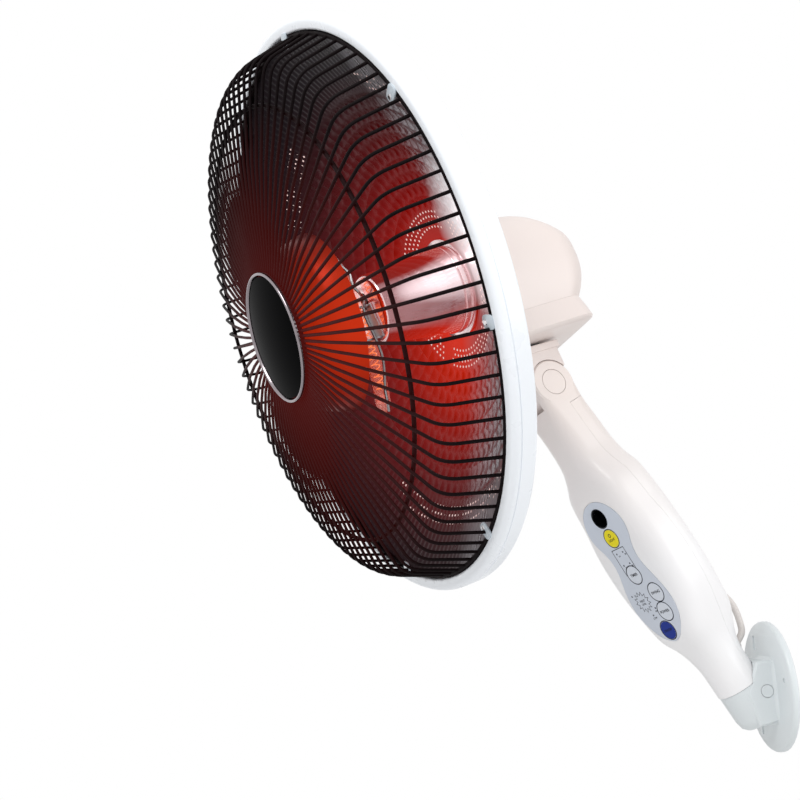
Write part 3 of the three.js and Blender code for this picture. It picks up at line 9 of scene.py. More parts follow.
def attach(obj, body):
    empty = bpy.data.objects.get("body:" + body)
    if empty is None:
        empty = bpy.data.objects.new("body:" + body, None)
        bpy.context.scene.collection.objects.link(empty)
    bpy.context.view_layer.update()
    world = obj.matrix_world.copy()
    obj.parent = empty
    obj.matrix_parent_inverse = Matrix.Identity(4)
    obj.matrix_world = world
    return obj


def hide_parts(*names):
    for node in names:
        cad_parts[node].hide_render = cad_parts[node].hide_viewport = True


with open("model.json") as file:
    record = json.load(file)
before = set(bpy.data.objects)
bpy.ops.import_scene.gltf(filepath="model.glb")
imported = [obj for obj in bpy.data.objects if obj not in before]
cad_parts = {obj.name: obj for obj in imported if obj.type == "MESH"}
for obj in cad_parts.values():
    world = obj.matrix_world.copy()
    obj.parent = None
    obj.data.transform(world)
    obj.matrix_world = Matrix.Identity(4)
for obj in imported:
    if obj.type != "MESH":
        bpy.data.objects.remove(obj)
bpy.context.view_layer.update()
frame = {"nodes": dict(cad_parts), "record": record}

MM = 0.001

# -------- frames of the moving bodies
ARM_ROOT = Vector((0, -23.8, -1.7)) * MM
ARM_ELEVATION = 60
ARM_TURN = 23
ARM_LENGTH = 260
TILT_BACK = 3.6
TILT_REST = 11.56
SWING_REST = -5
DISH_HEIGHT = 97.3
RIM_FORWARD = 120.5
CUP_RAISED = 9  # towards the hub, from where the plain solid has it

TO_METRES = Matrix.Scale(MM, 4)


def turn(degrees, axis):
    return Matrix.Rotation(math.radians(degrees), 4, axis)


def move(x, y, z):
    return Matrix.Translation((x, y, z))


# Each frame takes millimetres on a body to metres in the row frame.
INCLINE = Matrix.Translation(ARM_ROOT) @ turn(90 - ARM_ELEVATION, "X") @ TO_METRES
ARM = INCLINE @ turn(ARM_TURN, "Z")
NECK = ARM @ move(0, TILT_BACK, ARM_LENGTH) @ turn(-TILT_REST, "X")
HEAD = NECK @ turn(SWING_REST, "Z")
DISH = HEAD @ move(0, -RIM_FORWARD, DISH_HEIGHT) @ turn(90, "X")


def linked(name, data):
    """A new object in the scene that holds the data."""
    made = bpy.data.objects.new(name, data)
    bpy.context.scene.collection.objects.link(made)
    return made


# -------- camera
VIEW_FROM = Vector((0.83077, -0.31784, 0.07832))
VIEW_AZIMUTH = math.radians(85.89)
VIEW_RISE = math.radians(-9.86)
VIEW_ROLL = math.radians(-3.49)
LENS = 51.3
SENSOR = 36


def place_camera():
    back = Vector(
        (
            math.sin(VIEW_AZIMUTH) * math.cos(VIEW_RISE),
            -math.cos(VIEW_AZIMUTH) * math.cos(VIEW_RISE),
            math.sin(VIEW_RISE),
        )
    )
    level = Vector((0, 0, 1)).cross(back).normalized()
    upright = back.cross(level)
    right = level * math.cos(VIEW_ROLL) + upright * math.sin(VIEW_ROLL)
    up = upright * math.cos(VIEW_ROLL) - level * math.sin(VIEW_ROLL)
    lens = bpy.data.cameras.new("camera")
    lens.lens = LENS
    lens.sensor_width = SENSOR
    lens.sensor_fit = "HORIZONTAL"
    camera = linked("camera", lens)
    facing = Matrix((right, up, back)).transposed().to_4x4()
    camera.matrix_world = Matrix.Translation(VIEW_FROM) @ facing
    bpy.context.scene.camera = camera


place_camera()


# -------- shader writing
SCREEN_GAMMA = 2.2
NOISE_DETAIL = 3.0
BUMP_DISTANCE = 0.0002
NO_LIGHT = (0.0, 0.0, 0.0, 1.0)


def paint(red, green, blue):
    """A colour as it is seen, 0 to 255, in the shader's linear numbers."""
    return tuple((c / 255) ** SCREEN_GAMMA for c in (red, green, blue)) + (1.0,)


class Wire:
    """A shader socket on which plain arithmetic adds Math nodes."""

    def __init__(self, finish, socket):
        self.finish = finish
        self.socket = socket

    def _maths(self, operation, first, second):
        return self.finish.node("ShaderNodeMath", {"operation": operation}, {0: first, 1: second})

    def __sub__(self, other):
        return self._maths("SUBTRACT", self, other)

    def __rsub__(self, other):
        return self._maths("SUBTRACT", other, self)

    def __mul__(self, other):
        return self._maths("MULTIPLY", self, other)

    __rmul__ = __mul__


class Finish:
    """A material: a Principled shader with the values given, and nodes added by node()."""

    def __init__(self, name, color, roughness, **sockets):
        self.material = bpy.data.materials.new(name)
        self.material.use_nodes = True
        self.tree = self.material.node_tree
        self.shader = self.tree.nodes["Principled BSDF"]
        self.set({"Base Color": color, "Roughness": roughness, **sockets})

    def _plug(self, socket, value):
        if isinstance(value, Wire):
            self.tree.links.new(value.socket, socket)
        else:
            socket.default_value = value

    def set(self, sockets):
        for name, value in sockets.items():
            self._plug(self.shader.inputs[name], value)

    def node(self, kind, settings, sockets, output=0):
        made = self.tree.nodes.new(kind)
        for key, value in settings.items():
            setattr(made, key, value)
        for key, value in sockets.items():
            self._plug(made.inputs[key], value)
        return Wire(self, made.outputs[output])

    def place(self):
        return self.node("ShaderNodeTexCoord", {}, {}, "Object")

    def noise(self, scale):
        sockets = {"Vector": self.place(), "Scale": scale, "Detail": NOISE_DETAIL}
        return self.node("ShaderNodeTexNoise", {}, sockets, "Fac")

    def blend(self, factor, first, second):
        settings = {"data_type": "RGBA"}
        return self.node("ShaderNodeMix", settings, {0: factor, 6: first, 7: second}, 2)

    def span(self, value, low, high, to_low=0.0, to_high=1.0):
        sockets = {"Value": value, 1: low, 2: high, 3: to_low, 4: to_high}
        return self.node("ShaderNodeMapRange", {}, sockets)

    def speckle(self, scale, to_low, to_high):
        """A soft change from place to place, between two values."""
        return self.span(self.noise(scale), 0.3, 0.7, to_low, to_high)

    def grain(self, scale, strength):
        sockets = {"Strength": strength, "Distance": BUMP_DISTANCE, "Height": self.noise(scale)}
        return self.node("ShaderNodeBump", {}, sockets)

    def from_point(self, point):
        """The way from a point to the place that is shaded, in metres."""
        return self.vector_maths("SUBTRACT", self.place(), point)

    def vector_maths(self, operation, first, second=None, output=0):
        sockets = {0: first} if second is None else {0: first, 1: second}
        return self.node("ShaderNodeVectorMath", {"operation": operation}, sockets, output)

    def along(self, origin, direction):
        """How far a place lies from an origin in one direction, in metres."""
        return self.vector_maths("DOT_PRODUCT", self.from_point(origin), direction, "Value")

    def nearness(self, centre, low, high):
        """1 close to a point, falling to 0 between the two distances in metres."""
        reach = self.vector_maths("LENGTH", self.from_point(centre), output="Value")
        return self.span(reach, low, high, 1.0, 0.0)


def moulded(name, color, roughness, coat=0.0, shine=0.5, skin=0.08, index=1.5):
    """Moulded plastic: a faint change of gloss and a fine skin."""
    made = Finish(name, color, roughness)
    made.set({"Coat Weight": coat, "Specular IOR Level": shine, "IOR": index})
    gloss = made.speckle(60, roughness - 0.05, roughness + 0.07)
    darker = tuple(c * 0.98 for c in color[:3]) + (1.0,)
    made.set({"Roughness": gloss, "Normal": made.grain(900, skin)})
    made.set({"Base Color": made.blend(made.noise(14), darker, color)})
    return made.material


def arm_moulding():
    """The arm's white, with painted warm light from the glowing dish: a little warmer towards its knuckle.
    """
    made = Finish("arm_moulding", paint(240, 237, 236), 0.32)
    made.set({"Coat Weight": 0.15, "Normal": made.grain(900, 0.04)})
    made.set({"Roughness": made.speckle(60, 0.28, 0.38)})
    # Painted warm light: the arm turns pinker away from its lower part, towards the dish.
    low = made.nearness(ARM @ Vector((0, 0, 60)), 0.06, 0.19)
    made.set({"Base Color": made.blend(low, paint(232, 220, 214), paint(243, 242, 243))})
    return made.material


def metal(name, color, roughness, brushing=0.05):
    """Bright metal with a soft change of gloss."""
    made = Finish(name, color, roughness, Metallic=1.0)
    gloss = made.speckle(40, roughness * 0.8, roughness * 1.3)
    made.set({"Roughness": gloss, "Normal": made.grain(300, brushing)})
    return made.material


# Places below are in the dish's millimetres, and distances from them in metres.
def dish_metal():
    """Rolled aluminium with painted light: a painted red glow near the element, a painted pale reflection
    at the near rim, a painted white reflection patch, and painted shade nearly black at the far rim.
    """
    made = Finish("dimpled_aluminium", paint(150, 148, 152), 0.3, Metallic=1.0)
    # Painted red glow: the bowl is reddened and made to shine by its nearness to the element.
    near = made.nearness(DISH @ Vector((-8, -18, -60)), 0.03, 0.2)
    heat = near * near
    painted_glow_core = made.nearness(DISH @ Vector((-20, -30, -60)), 0.02, 0.11)
    middle = DISH @ Vector((0, 0, -60))
    axes = DISH.to_3x3()
    across = made.along(middle, (axes @ Vector((1, 0, 0))).normalized())
    up = made.along(middle, (axes @ Vector((0, 1, 0))).normalized())
    # Painted reflection: a pale metal side towards the near rim, where the bowl would mirror the bright
    # studio.
    painted_reflection_side = made.span(across - 2.0 * (up * up) - 0.5 * up, 0.0, 0.07)
    # Painted reflection: a white patch of emission standing for a bright window seen in the bowl, for the
    # barrel to mirror.
    window = made.nearness(DISH @ Vector((82, 6, -72)), 0.015, 0.068)
    # Painted shade: away from the near rim the bowl's colour is kept nearly black.
    plain = made.blend(painted_reflection_side, paint(46, 38, 42), paint(172, 170, 176))
    warm = made.blend(heat, plain, paint(120, 28, 18))
    base = made.blend(painted_reflection_side * 0.9, warm, paint(160, 156, 160))
    made.set({"Base Color": base, "Normal": made.grain(500, 0.04)})
    made.set({"Roughness": made.speckle(35, 0.24, 0.36)})
    # Painted glow colour, deepest red at the core by the element.
    painted_glow_colour = made.blend(painted_glow_core, paint(172, 20, 12), paint(190, 40, 18))
    glow = made.blend(heat * (1.0 - painted_reflection_side), NO_LIGHT, painted_glow_colour)
    lit = made.blend(window, glow, paint(250, 250, 252))
    made.set({"Emission Color": lit, "Emission Strength": 1.0})
    return made.material


def wire_with_painted_glow():
    """Black coated wire, with a painted red glow near the element in the middle of the guard."""
    made = Finish("black_coating", paint(20, 12, 14), 0.6)
    made.set({"Specular IOR Level": 0.08})
    near = made.nearness(DISH @ Vector((10, -20, 45)), 0.02, 0.17)
    glow = made.blend(near, NO_LIGHT, paint(84, 22, 18))
    made.set({"Emission Color": glow, "Emission Strength": 0.8})
    made.set({"Roughness": made.speckle(60, 0.55, 0.66)})
    return made.material


def barrel_metal():
    """Bright plated cup, with a painted red glow round it standing for the bowl's red reflected in it."""
    made = Finish("barrel_chrome", paint(236, 226, 228), 0.1, Metallic=1.0)
    made.set({"Roughness": made.speckle(40, 0.08, 0.14)})
    near = made.nearness(DISH @ Vector((0, 0, -20)), 0.02, 0.09)
    glow = made.blend(near, paint(84, 18, 14), paint(132, 30, 16))
    made.set({"Emission Color": glow, "Emission Strength": 0.8})
    return made.material


def cup_metal():
    """The front cup, with a painted red tint and glow, brightest where it faces the element."""
    # Its red colour is painted light from the element on plain aluminium.
    made = Finish("cup_aluminium", paint(86, 30, 24), 0.34, Metallic=1.0)
    made.set({"Normal": made.grain(400, 0.05)})
    near = made.nearness(DISH @ Vector((52, -22, 12 + CUP_RAISED)), 0.01, 0.075)
    glow = made.blend(near, paint(58, 8, 8), paint(196, 50, 22))
    made.set({"Emission Color": glow, "Emission Strength": 0.9})
    return made.material


def quartz_glass():
    """The element's clear tube, with a painted red glow from the coil inside it."""
    made = Finish("quartz", paint(250, 232, 222), 0.05)
    made.set({"Alpha": 0.28, "Coat Weight": 1.0})
    made.set({"Emission Color": paint(235, 70, 30), "Emission Strength": 0.5})
    made.set({"Normal": made.grain(200, 0.03)})
    return made.material


def filament():
    """The glowing coil, orange with paler places."""
    made = Finish("filament", paint(120, 40, 20), 0.5)
    heat = made.blend(made.noise(90), paint(230, 84, 30), paint(250, 140, 70))
    made.set({"Emission Color": heat, "Emission Strength": 1.1})
    return made.material


def vent_light():
    """What shows through the bowl's vent holes: the pale back of the dish, with a painted glow for the
    element's light on it.
    """
    made = Finish("vent_light", paint(225, 205, 200), 0.6)
    pale = made.blend(made.noise(30), paint(230, 160, 150), paint(245, 235, 230))
    made.set({"Emission Color": pale, "Emission Strength": 0.55})
    return made.material


ARM_WHITE = arm_moulding()
COOL_WHITE = moulded("plate_moulding", paint(219, 225, 227), 0.34, 0.1)
CREAM = moulded("cream_moulding", paint(230, 218, 213), 0.36, 0.1)
ENAMEL = moulded("rim_enamel", paint(246, 250, 255), 0.3, 0.2, skin=0.0)
BLACK_WIRE = wire_with_painted_glow()
# The low index keeps it near black where it is seen at a slant.
BLACK_GLOSS = moulded("black_gloss", paint(6, 6, 8), 0.1, shine=0.3, skin=0.0, index=1.05)
BEZEL = metal("bezel_metal", paint(150, 142, 146), 0.18)
CHROME = metal("chrome", paint(226, 222, 224), 0.07, 0.02)
STEEL = metal("steel", paint(168, 168, 170), 0.3)
DISH_METAL = dish_metal()
CUP_METAL = cup_metal()
BARREL_METAL = barrel_metal()
QUARTZ = quartz_glass()
FILAMENT = filament()
VENT_LIGHT = vent_light()
CERAMIC = moulded("ceramic", paint(226, 214, 198), 0.75)
FILM = moulded("film", paint(204, 210, 221), 0.4)
KEY_YELLOW = moulded("yellow_film", paint(236, 218, 20), 0.45, shine=0.3)
KEY_GREY = moulded("grey_film", paint(212, 217, 226), 0.4)
KEY_BLUE = moulded("blue_film", paint(14, 46, 136), 0.45, shine=0.25)
INK = moulded("ink", paint(20, 22, 34), 0.6, shine=0.2)
BOARD = moulded("board", paint(40, 104, 60), 0.5)
DARK = moulded("dark_moulding", paint(42, 42, 45), 0.5)
CLEAR = moulded("clear_grey_moulding", paint(196, 206, 214), 0.3, 0.3)
SHEATH = moulded("sheath", paint(222, 216, 212), 0.6)


# -------- making pieces
SHARP = math.radians(32)


def finish_piece(bm, name, place, body, material, stands_for=()):
    """Turns a bmesh in a body's millimetres into a piece that rides on that body."""
    bmesh.ops.transform(bm, matrix=place, verts=bm.verts)
    for face in bm.faces:
        face.smooth = True
    for edge in bm.edges:
        edge.smooth = edge.calc_face_angle(0.0) < SHARP
    mesh = bpy.data.meshes.new(name)
    bm.to_mesh(mesh)
    bm.free()
    mesh.materials.append(material)
    piece = linked(name, mesh)
    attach(piece, body)
    if stands_for:
        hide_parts(*stands_for)
    return piece


def clean(bm, merge=1e-4):
    bmesh.ops.remove_doubles(bm, verts=bm.verts, dist=merge)
    bmesh.ops.recalc_face_normals(bm, faces=bm.faces)
    return bm


def spun(profile, steps=96, closed=False):
    """A profile of (radius, height) turned about Z."""
    bm = bmesh.new()
    verts = [bm.verts.new((r, 0, z)) for r, z in profile]
    pairs = list(zip(verts, verts[1:]))
    if closed:
        pairs.append((verts[-1], verts[0]))
    edges = [bm.edges.new(pair) for pair in pairs]
    bmesh.ops.spin(
        bm,
        geom=verts + edges,
        cent=(0, 0, 0),
        axis=(0, 0, 1),
        angle=2 * math.pi,
        steps=steps,
        use_merge=True,
    )
    return clean(bm)


def arc(centre, radius, start, end, count):
    """Points on an arc of a profile, angles in degrees."""
    points = []
    for i in range(count + 1):
        angle = math.radians(start + (end - start) * i / count)
        points.append((centre[0] + radius * math.cos(angle), centre[1] + radius * math.sin(angle)))
    return points


def bar_along(bm, points, radius, sides=8):
    """A round bar through points, closed at both ends, added to bm."""
    ring = bmesh.ops.create_circle(bm, cap_ends=True, radius=radius, segments=sides)["verts"]
    face = ring[0].link_faces[0]
    face.normal_flip()
    before = Matrix.Identity(4)
    for i, point in enumerate(points):
        ahead = points[min(i + 1, len(points) - 1)] - points[max(i - 1, 0)]
        turned = Vector((0, 0, 1)).rotation_difference(ahead.normalized()).to_matrix().to_4x4()
        place = Matrix.Translation(point) @ turned
        if i:
            grown = bmesh.ops.extrude_face_region(bm, geom=[face])["geom"]
            bmesh.ops.delete(bm, geom=[face], context="FACES_ONLY")
            face = next(item for item in grown if isinstance(item, bmesh.types.BMFace))
            ring = list(face.verts)
        bmesh.ops.transform(bm, matrix=place @ before.inverted(), verts=ring)
        before = place
    return bm


def smooth_path(points, steps):
    """A smooth curve through points, passing each of them."""
    path = []
    for i in range(len(points) - 1):
        p0 = points[max(i - 1, 0)]
        p1, p2 = points[i], points[i + 1]
        p3 = points[min(i + 2, len(points) - 1)]
        for k in range(steps):
            t = k / steps
            path.append(
                0.5
                * (
                    2 * p1
                    + (p2 - p0) * t
                    + (2 * p0 - 5 * p1 + 4 * p2 - p3) * t * t
                    + (3 * p1 - p0 - 3 * p2 + p3) * t**3
                )
            )
    path.append(points[-1])
    return path


def rounded_ring(bm, height, half, front, back, corner, steps):
    """A rounded rectangle's edge loop: x is +-half, y runs from -front to +back."""
    radius = min(corner, half - 0.1, (front + back) / 2 - 0.1)
    corners = [
        (half - radius, back - radius, 0),
        (radius - half, back - radius, 90),
        (radius - half, radius - front, 180),
        (half - radius, radius - front, 270),
    ]
    verts = []
    for x, y, start in corners:
        for i in range(steps + 1):
            angle = math.radians(start + 90 * i / steps)
            verts.append(
                bm.verts.new((x + radius * math.cos(angle), y + radius * math.sin(angle), height))
            )
    return [bm.edges.new((verts[i], verts[(i + 1) % len(verts)])) for i in range(len(verts))]


def lofted(stations, steps=8):
    """Rounded rectangles (height, half, front, back, corner), bridged and capped."""
    bm = bmesh.new()
    loops = [rounded_ring(bm, *station, steps) for station in stations]
    for lower, upper in zip(loops, loops[1:]):
        bmesh.ops.bridge_loops(bm, edges=lower + upper)
    for loop in (loops[0], loops[-1]):
        bmesh.ops.contextual_create(bm, geom=loop)
    return clean(bm)


def eased(stations, spacing):
    """Stations closed up to the spacing, on smooth curves through the given ones."""
    closer = []
    for i in range(len(stations) - 1):
        s1, s2 = stations[i], stations[i + 1]
        s0, s3 = stations[max(i - 1, 0)], stations[min(i + 2, len(stations) - 1)]
        count = max(1, round((s2[0] - s1[0]) / spacing))
        for k in range(count):
            t = k / count
            row = [s1[0] + (s2[0] - s1[0]) * t]
            for v0, v1, v2, v3 in zip(s0[1:], s1[1:], s2[1:], s3[1:]):
                m1 = (v2 - v0) / (s2[0] - s0[0]) * (s2[0] - s1[0])
                m2 = (v3 - v1) / (s3[0] - s1[0]) * (s2[0] - s1[0])
                square, cube = t * t, t**3
                row.append(
                    (2 * cube - 3 * square + 1) * v1
                    + (cube - 2 * square + t) * m1
                    + (3 * square - 2 * cube) * v2
                    + (cube - square) * m2
                )
            closer.append(tuple(row))
    closer.append(stations[-1])
    return closer


def drum(radius, low, high, edge=0.0, steps=64):
    """A round bar on Z with softened edges."""
    if not edge:
        return spun([(0, low), (radius, low), (radius, high), (0, high)], steps)
    profile = [(0, low), (radius - edge, low), (radius, low + edge)]
    profile += [(radius, high - edge), (radius - edge, high), (0, high)]
    return spun(profile, steps)


def slab(low, high):
    """A box between two corners."""
    bm = bmesh.new()
    bmesh.ops.create_cube(bm, size=1)
    size = [b - a for a, b in zip(low, high)]
    middle = [(a + b) / 2 for a, b in zip(low, high)]
    bmesh.ops.scale(bm, vec=size, verts=bm.verts)
    bmesh.ops.translate(bm, vec=middle, verts=bm.verts)
    return bm


def placed(bm, matrix):
    """bm, moved by a matrix."""
    bmesh.ops.transform(bm, matrix=matrix, verts=bm.verts)
    return bm


def scratch_object(bm):
    mesh = bpy.data.meshes.new("scratch")
    bm.to_mesh(mesh)
    bm.free()
    return linked("scratch", mesh)


def carved(bm, steps):
    """bm with each (operation, bmesh) of steps joined to it, cut from it or kept of it."""
    base = scratch_object(bm)
    tools = []
    for operation, tool in steps:
        other = scratch_object(tool)
        tools.append(other)
        modifier = base.modifiers.new("carve", "BOOLEAN")
        modifier.operation = operation
        modifier.solver = "EXACT"
        modifier.object = other
    bpy.context.view_layer.update()
    graph = bpy.context.evaluated_depsgraph_get()
    result = bmesh.new()
    result.from_mesh(base.evaluated_get(graph).to_mesh())
    for item in [base, *tools]:
        mesh = item.data
        bpy.data.objects.remove(item)
        bpy.data.meshes.remove(mesh)
    bmesh.ops.remove_doubles(result, verts=result.verts, dist=1e-3)
    return result


ACROSS = Matrix.Rotation(math.pi / 2, 4, "Y")  # lays Z along X
BODY_OF = {
    node: body for body, nodes in frame["record"]["behaviour"]["bodies"].items() for node in nodes
}
BEVEL_FROM = math.radians(50)


def dressed(node, material, bevel):
    """A plain solid's own shape, merged, with softened edges."""
    bm = bmesh.new()
    bm.from_mesh(frame["nodes"][node].data)
    bmesh.ops.scale(bm, vec=(1 / MM, 1 / MM, 1 / MM), verts=bm.verts)
    bmesh.ops.remove_doubles(bm, verts=bm.verts, dist=2e-3)
    bmesh.ops.dissolve_limit(bm, angle_limit=math.radians(1), verts=bm.verts, edges=bm.edges)
    piece = finish_piece(bm, node + "_dressed", TO_METRES, BODY_OF[node], material, [node])
    modifier = piece.modifiers.new("edges", "BEVEL")
    modifier.width = bevel * MM
    modifier.segments = 2
    modifier.limit_method = "ANGLE"
    modifier.angle_limit = BEVEL_FROM
    modifier.use_clamp_overlap = True


# -------- lead behind the arm
LEAD_TOP = 68
LEAD_BOTTOM = 27
LEAD_RADIUS = 2.5


def lead():
    """The short loop of flexible lead behind the lower arm, from one collar to the other."""
    route = [
        (22.5, LEAD_TOP),
        (29.5, LEAD_TOP - 0.5),
        (34, LEAD_TOP - 5),
        (36.9, LEAD_TOP - 12),
        (37.5, LEAD_TOP - 20),
        (35, LEAD_TOP - 29),
        (30.5, LEAD_TOP - 37),
        (22.8, LEAD_BOTTOM + 1),
        (16.3, LEAD_BOTTOM),
    ]
    path = smooth_path([Vector((0, y, z)) for y, z in route], 5)
    bm = bar_along(bmesh.new(), path, LEAD_RADIUS, 16)
    loop = finish_piece(bm, "lead_loop", ARM, "arm", SHEATH, ["bridging_lead"])
    line = [ARM @ point for point in path]
    sum((b - a).length for a, b in zip(line, line[1:]))


lead()

# -------- dish
RIM_INNER = 200
RIM_OUTER = 209.2
REFLECTOR_DEPTH = 88
REFLECTOR_EDGE = 198
REFLECTOR_EDGE_DEPTH = 4.3
REFLECTOR_HOLE = 30
REFLECTOR_STEP = 1.5
LIP = 207  # the edge that the bowl and the back tuck under the ring
SHELL_DEPTH = 93
SHELL_RISE = 85
SHELL_HOLE = 26
SHELL_WALL = 0.8
DISH_STEPS = 160


def reflector_height(radius):
    rise = REFLECTOR_DEPTH - REFLECTOR_EDGE_DEPTH
    return -REFLECTOR_DEPTH + rise * (radius / REFLECTOR_EDGE) ** 2


def shell_height(radius):
    """The closed back of the dish."""
    return -SHELL_DEPTH + SHELL_RISE * (radius / RIM_INNER) ** 2


def on_dish(bm, name, material, stands_for=()):
    """A piece in the dish's millimetres: x across it, y up along it, z out of its mouth."""
    return finish_piece(bm, name, DISH, "head", material, stands_for)


def rim_ring():
    front, back = 1, -16
    profile = [(RIM_INNER, -3), (RIM_INNER, front - 1.6)]
    profile += arc((RIM_INNER + 1.6, front - 1.6), 1.6, 180, 90, 4)
    profile += arc((RIM_OUTER - 4.4, front - 4.4), 4.4, 90, 8, 8)
    # A fine parting line runs round behind the rounded front.
    profile += [(RIM_OUTER, front - 5.2), (RIM_OUTER - 0.7, front - 5.5)]
    profile += [(RIM_OUTER - 0.7, front - 5.9), (RIM_OUTER, front - 6.2)]
    profile += [(RIM_OUTER, back + 1.2), (RIM_OUTER - 0.8, back)]
    profile += [(RIM_OUTER - 2.4, back), (RIM_OUTER - 2.4, -3)]
    bm = spun(profile, DISH_STEPS, closed=True)
    on_dish(bm, "rim", ENAMEL, ["rim_ring"])


DIMPLE_ROW = 10.0
DIMPLES_FROM = 62
DIMPLES_TO = 150
DIMPLES_FIRST_ROW = 44
DIMPLES_MORE = 6  # in each row than in the one inside it
DIMPLE_DEPTH = 1.6
RIBS_FROM = 152
RIB_COUNT = 180
RIB_DEPTH = 0.35
BOWL_STEPS = 720


def bowl_relief(radius, angle):
    """Depth of the pressed pattern: scales in rows, then fine ribs out to the rim."""
    if DIMPLES_FROM < radius < DIMPLES_TO:
        row = math.floor((radius - DIMPLES_FROM) / DIMPLE_ROW)
        across = ((radius - DIMPLES_FROM) / DIMPLE_ROW) % 1.0
        count = DIMPLES_FIRST_ROW + DIMPLES_MORE * row
        around = (angle / (2 * math.pi) * count + 0.5 * (row % 2)) % 1.0
        bump = (math.sin(math.pi * around) * math.sin(math.pi * across)) ** 0.6
        return DIMPLE_DEPTH * bump
    if radius > RIBS_FROM:
        fade = min(1.0, (radius - RIBS_FROM) / 5, (REFLECTOR_EDGE - radius) / 4)
        return RIB_DEPTH * max(fade, 0) * math.cos(angle * RIB_COUNT)
    return 0.0


def reflector():
    radii = [REFLECTOR_HOLE + REFLECTOR_STEP * i for i in range(112)]
    profile = [(r, reflector_height(r)) for r in radii]
    profile += [(REFLECTOR_EDGE, -REFLECTOR_EDGE_DEPTH), (LIP, -3.6)]
    bm = spun(profile, BOWL_STEPS)
    bm.normal_update()
    if sum(face.normal.z for face in bm.faces) < 0:
        bmesh.ops.reverse_faces(bm, faces=bm.faces)
    for vert in bm.verts:
        radius = math.hypot(vert.co.x, vert.co.y)
        angle = math.atan2(vert.co.y, vert.co.x) % (2 * math.pi)
        vert.co.z -= bowl_relief(radius, angle) - 0.05
    on_dish(bm, "bowl", DISH_METAL, ["reflector"])


VENT_RADIUS = 0.9
VENT_PITCH = 4.6
BOWL_CURVE = 0.0043  # how much steeper the bowl is for each millimetre of radius
# Groups of vent holes: middle direction in degrees, half spread, and the rows' radii.
VENTS = [
    (90, 38, (48, 52, 56, 60)),
    (0, 38, (48, 52, 56, 60)),
    (270, 38, (48, 52, 56, 60)),
    (180, 38, (48, 52, 56, 60)),
    (138, 34, (157, 162, 167)),
    (258, 34, (157, 162, 167)),
    (18, 34, (157, 162, 167)),
]


def vent_holes():
    bm = bmesh.new()
    for middle, spread, radii in VENTS:
        for row, radius in enumerate(radii):
            pitch = math.degrees(VENT_PITCH / radius)
            count = int(2 * spread / pitch)
            for i in range(count + 1):
                angle = math.radians(middle - spread + pitch * (i + 0.5 * (row % 2)))
                place = Matrix.Rotation(angle, 4, "Z") @ move(radius, 0, reflector_height(radius) + 0.12)
                tilt = Matrix.Rotation(-math.atan(BOWL_CURVE * radius), 4, "Y")
                bmesh.ops.create_circle(
                    bm, cap_ends=True, radius=VENT_RADIUS, segments=8, matrix=place @ tilt
                )
    # The holes are flat discs laid on the bowl, with a painted glow.
    on_dish(bm, "vent_holes", VENT_LIGHT)


def dish_back():
    radii = [SHELL_HOLE + (RIM_INNER - SHELL_HOLE) * i / 40 for i in range(41)]
    profile = [(r, shell_height(r) - SHELL_WALL) for r in radii]
    profile.append((LIP, -6.6))
    bm = spun(profile, DISH_STEPS)
    bm.normal_update()
    if sum(face.normal.z for face in bm.faces) > 0:
        bmesh.ops.reverse_faces(bm, faces=bm.faces)
    piece = on_dish(bm, "dish_back", ENAMEL, ["dish_back_shell"])
    wall = piece.modifiers.new("wall", "SOLIDIFY")
    wall.thickness = SHELL_WALL * MM


BARREL_TOP = -15
BARREL_FOOT = 38
BARREL_HOLE = 6.5
BARREL_HOLE_UP = 8


def barrel():
    base = reflector_height(BARREL_FOOT) + 0.9
    profile = [(0, BARREL_TOP), (22.4, BARREL_TOP)]
    profile += arc((23.4, -18.4), 3.4, 90, 10, 8)
    profile += [(28.2, -38), (29.8, -52), (31.4, -65), (32.6, -73)]
    profile += arc((30.2, base + 6), 3.3, 20, -30, 6)
    profile += [(33.8, base + 1.4), (BARREL_FOOT, base + 1), (BARREL_FOOT, base)]
    outer = spun(profile, 96)
    aside = move(0, BARREL_HOLE_UP, 0)
    hole = placed(drum(BARREL_HOLE, BARREL_TOP - 10, BARREL_TOP + 10, steps=40), aside)
    bm = carved(outer, [("DIFFERENCE", hole)])
    on_dish(bm, "barrel", BARREL_METAL, ["chrome_barrel"])
    # The dark socket seen through the barrel's hole.
    inner = placed(drum(BARREL_HOLE + 0.7, BARREL_TOP - 7, BARREL_TOP - 0.6, 0.6, 40), aside)
    on_dish(inner, "barrel_socket", DARK)


# The element: its tube is bowed towards the barrel and its top leans the same way.
TUBE_HALF = 54
TUBE_CENTRE = -14
TUBE_PLANE = -1
TUBE_BOW = 5
TUBE_LEAN = 4
TUBE_RADIUS = 5.5
COIL_TURNS = 20
COIL_TURN_STEPS = 14
COIL_RADIUS = 2.9
COIL_WIRE = 0.5
COIL_SHORT = 9  # from the tube's end to the coil's


def element_point(share):
    """A place on the tube's middle line, from -1 at its lower end to 1 at its upper end."""
    height = TUBE_PLANE - TUBE_BOW * (1 - share * share) - TUBE_LEAN * share
    return Vector((0, TUBE_CENTRE + TUBE_HALF * share, height))


def quartz_tube():
    path = [element_point(-1 + i / 16) for i in range(33)]
    bm = bar_along(bmesh.new(), path, TUBE_RADIUS, 24)
    ends = [f for f in bm.faces if len(f.verts) > 4]
    bmesh.ops.delete(bm, geom=ends, context="FACES_ONLY")
    clean(bm)
    on_dish(bm, "glass_tube", QUARTZ, ["quartz_tube"])


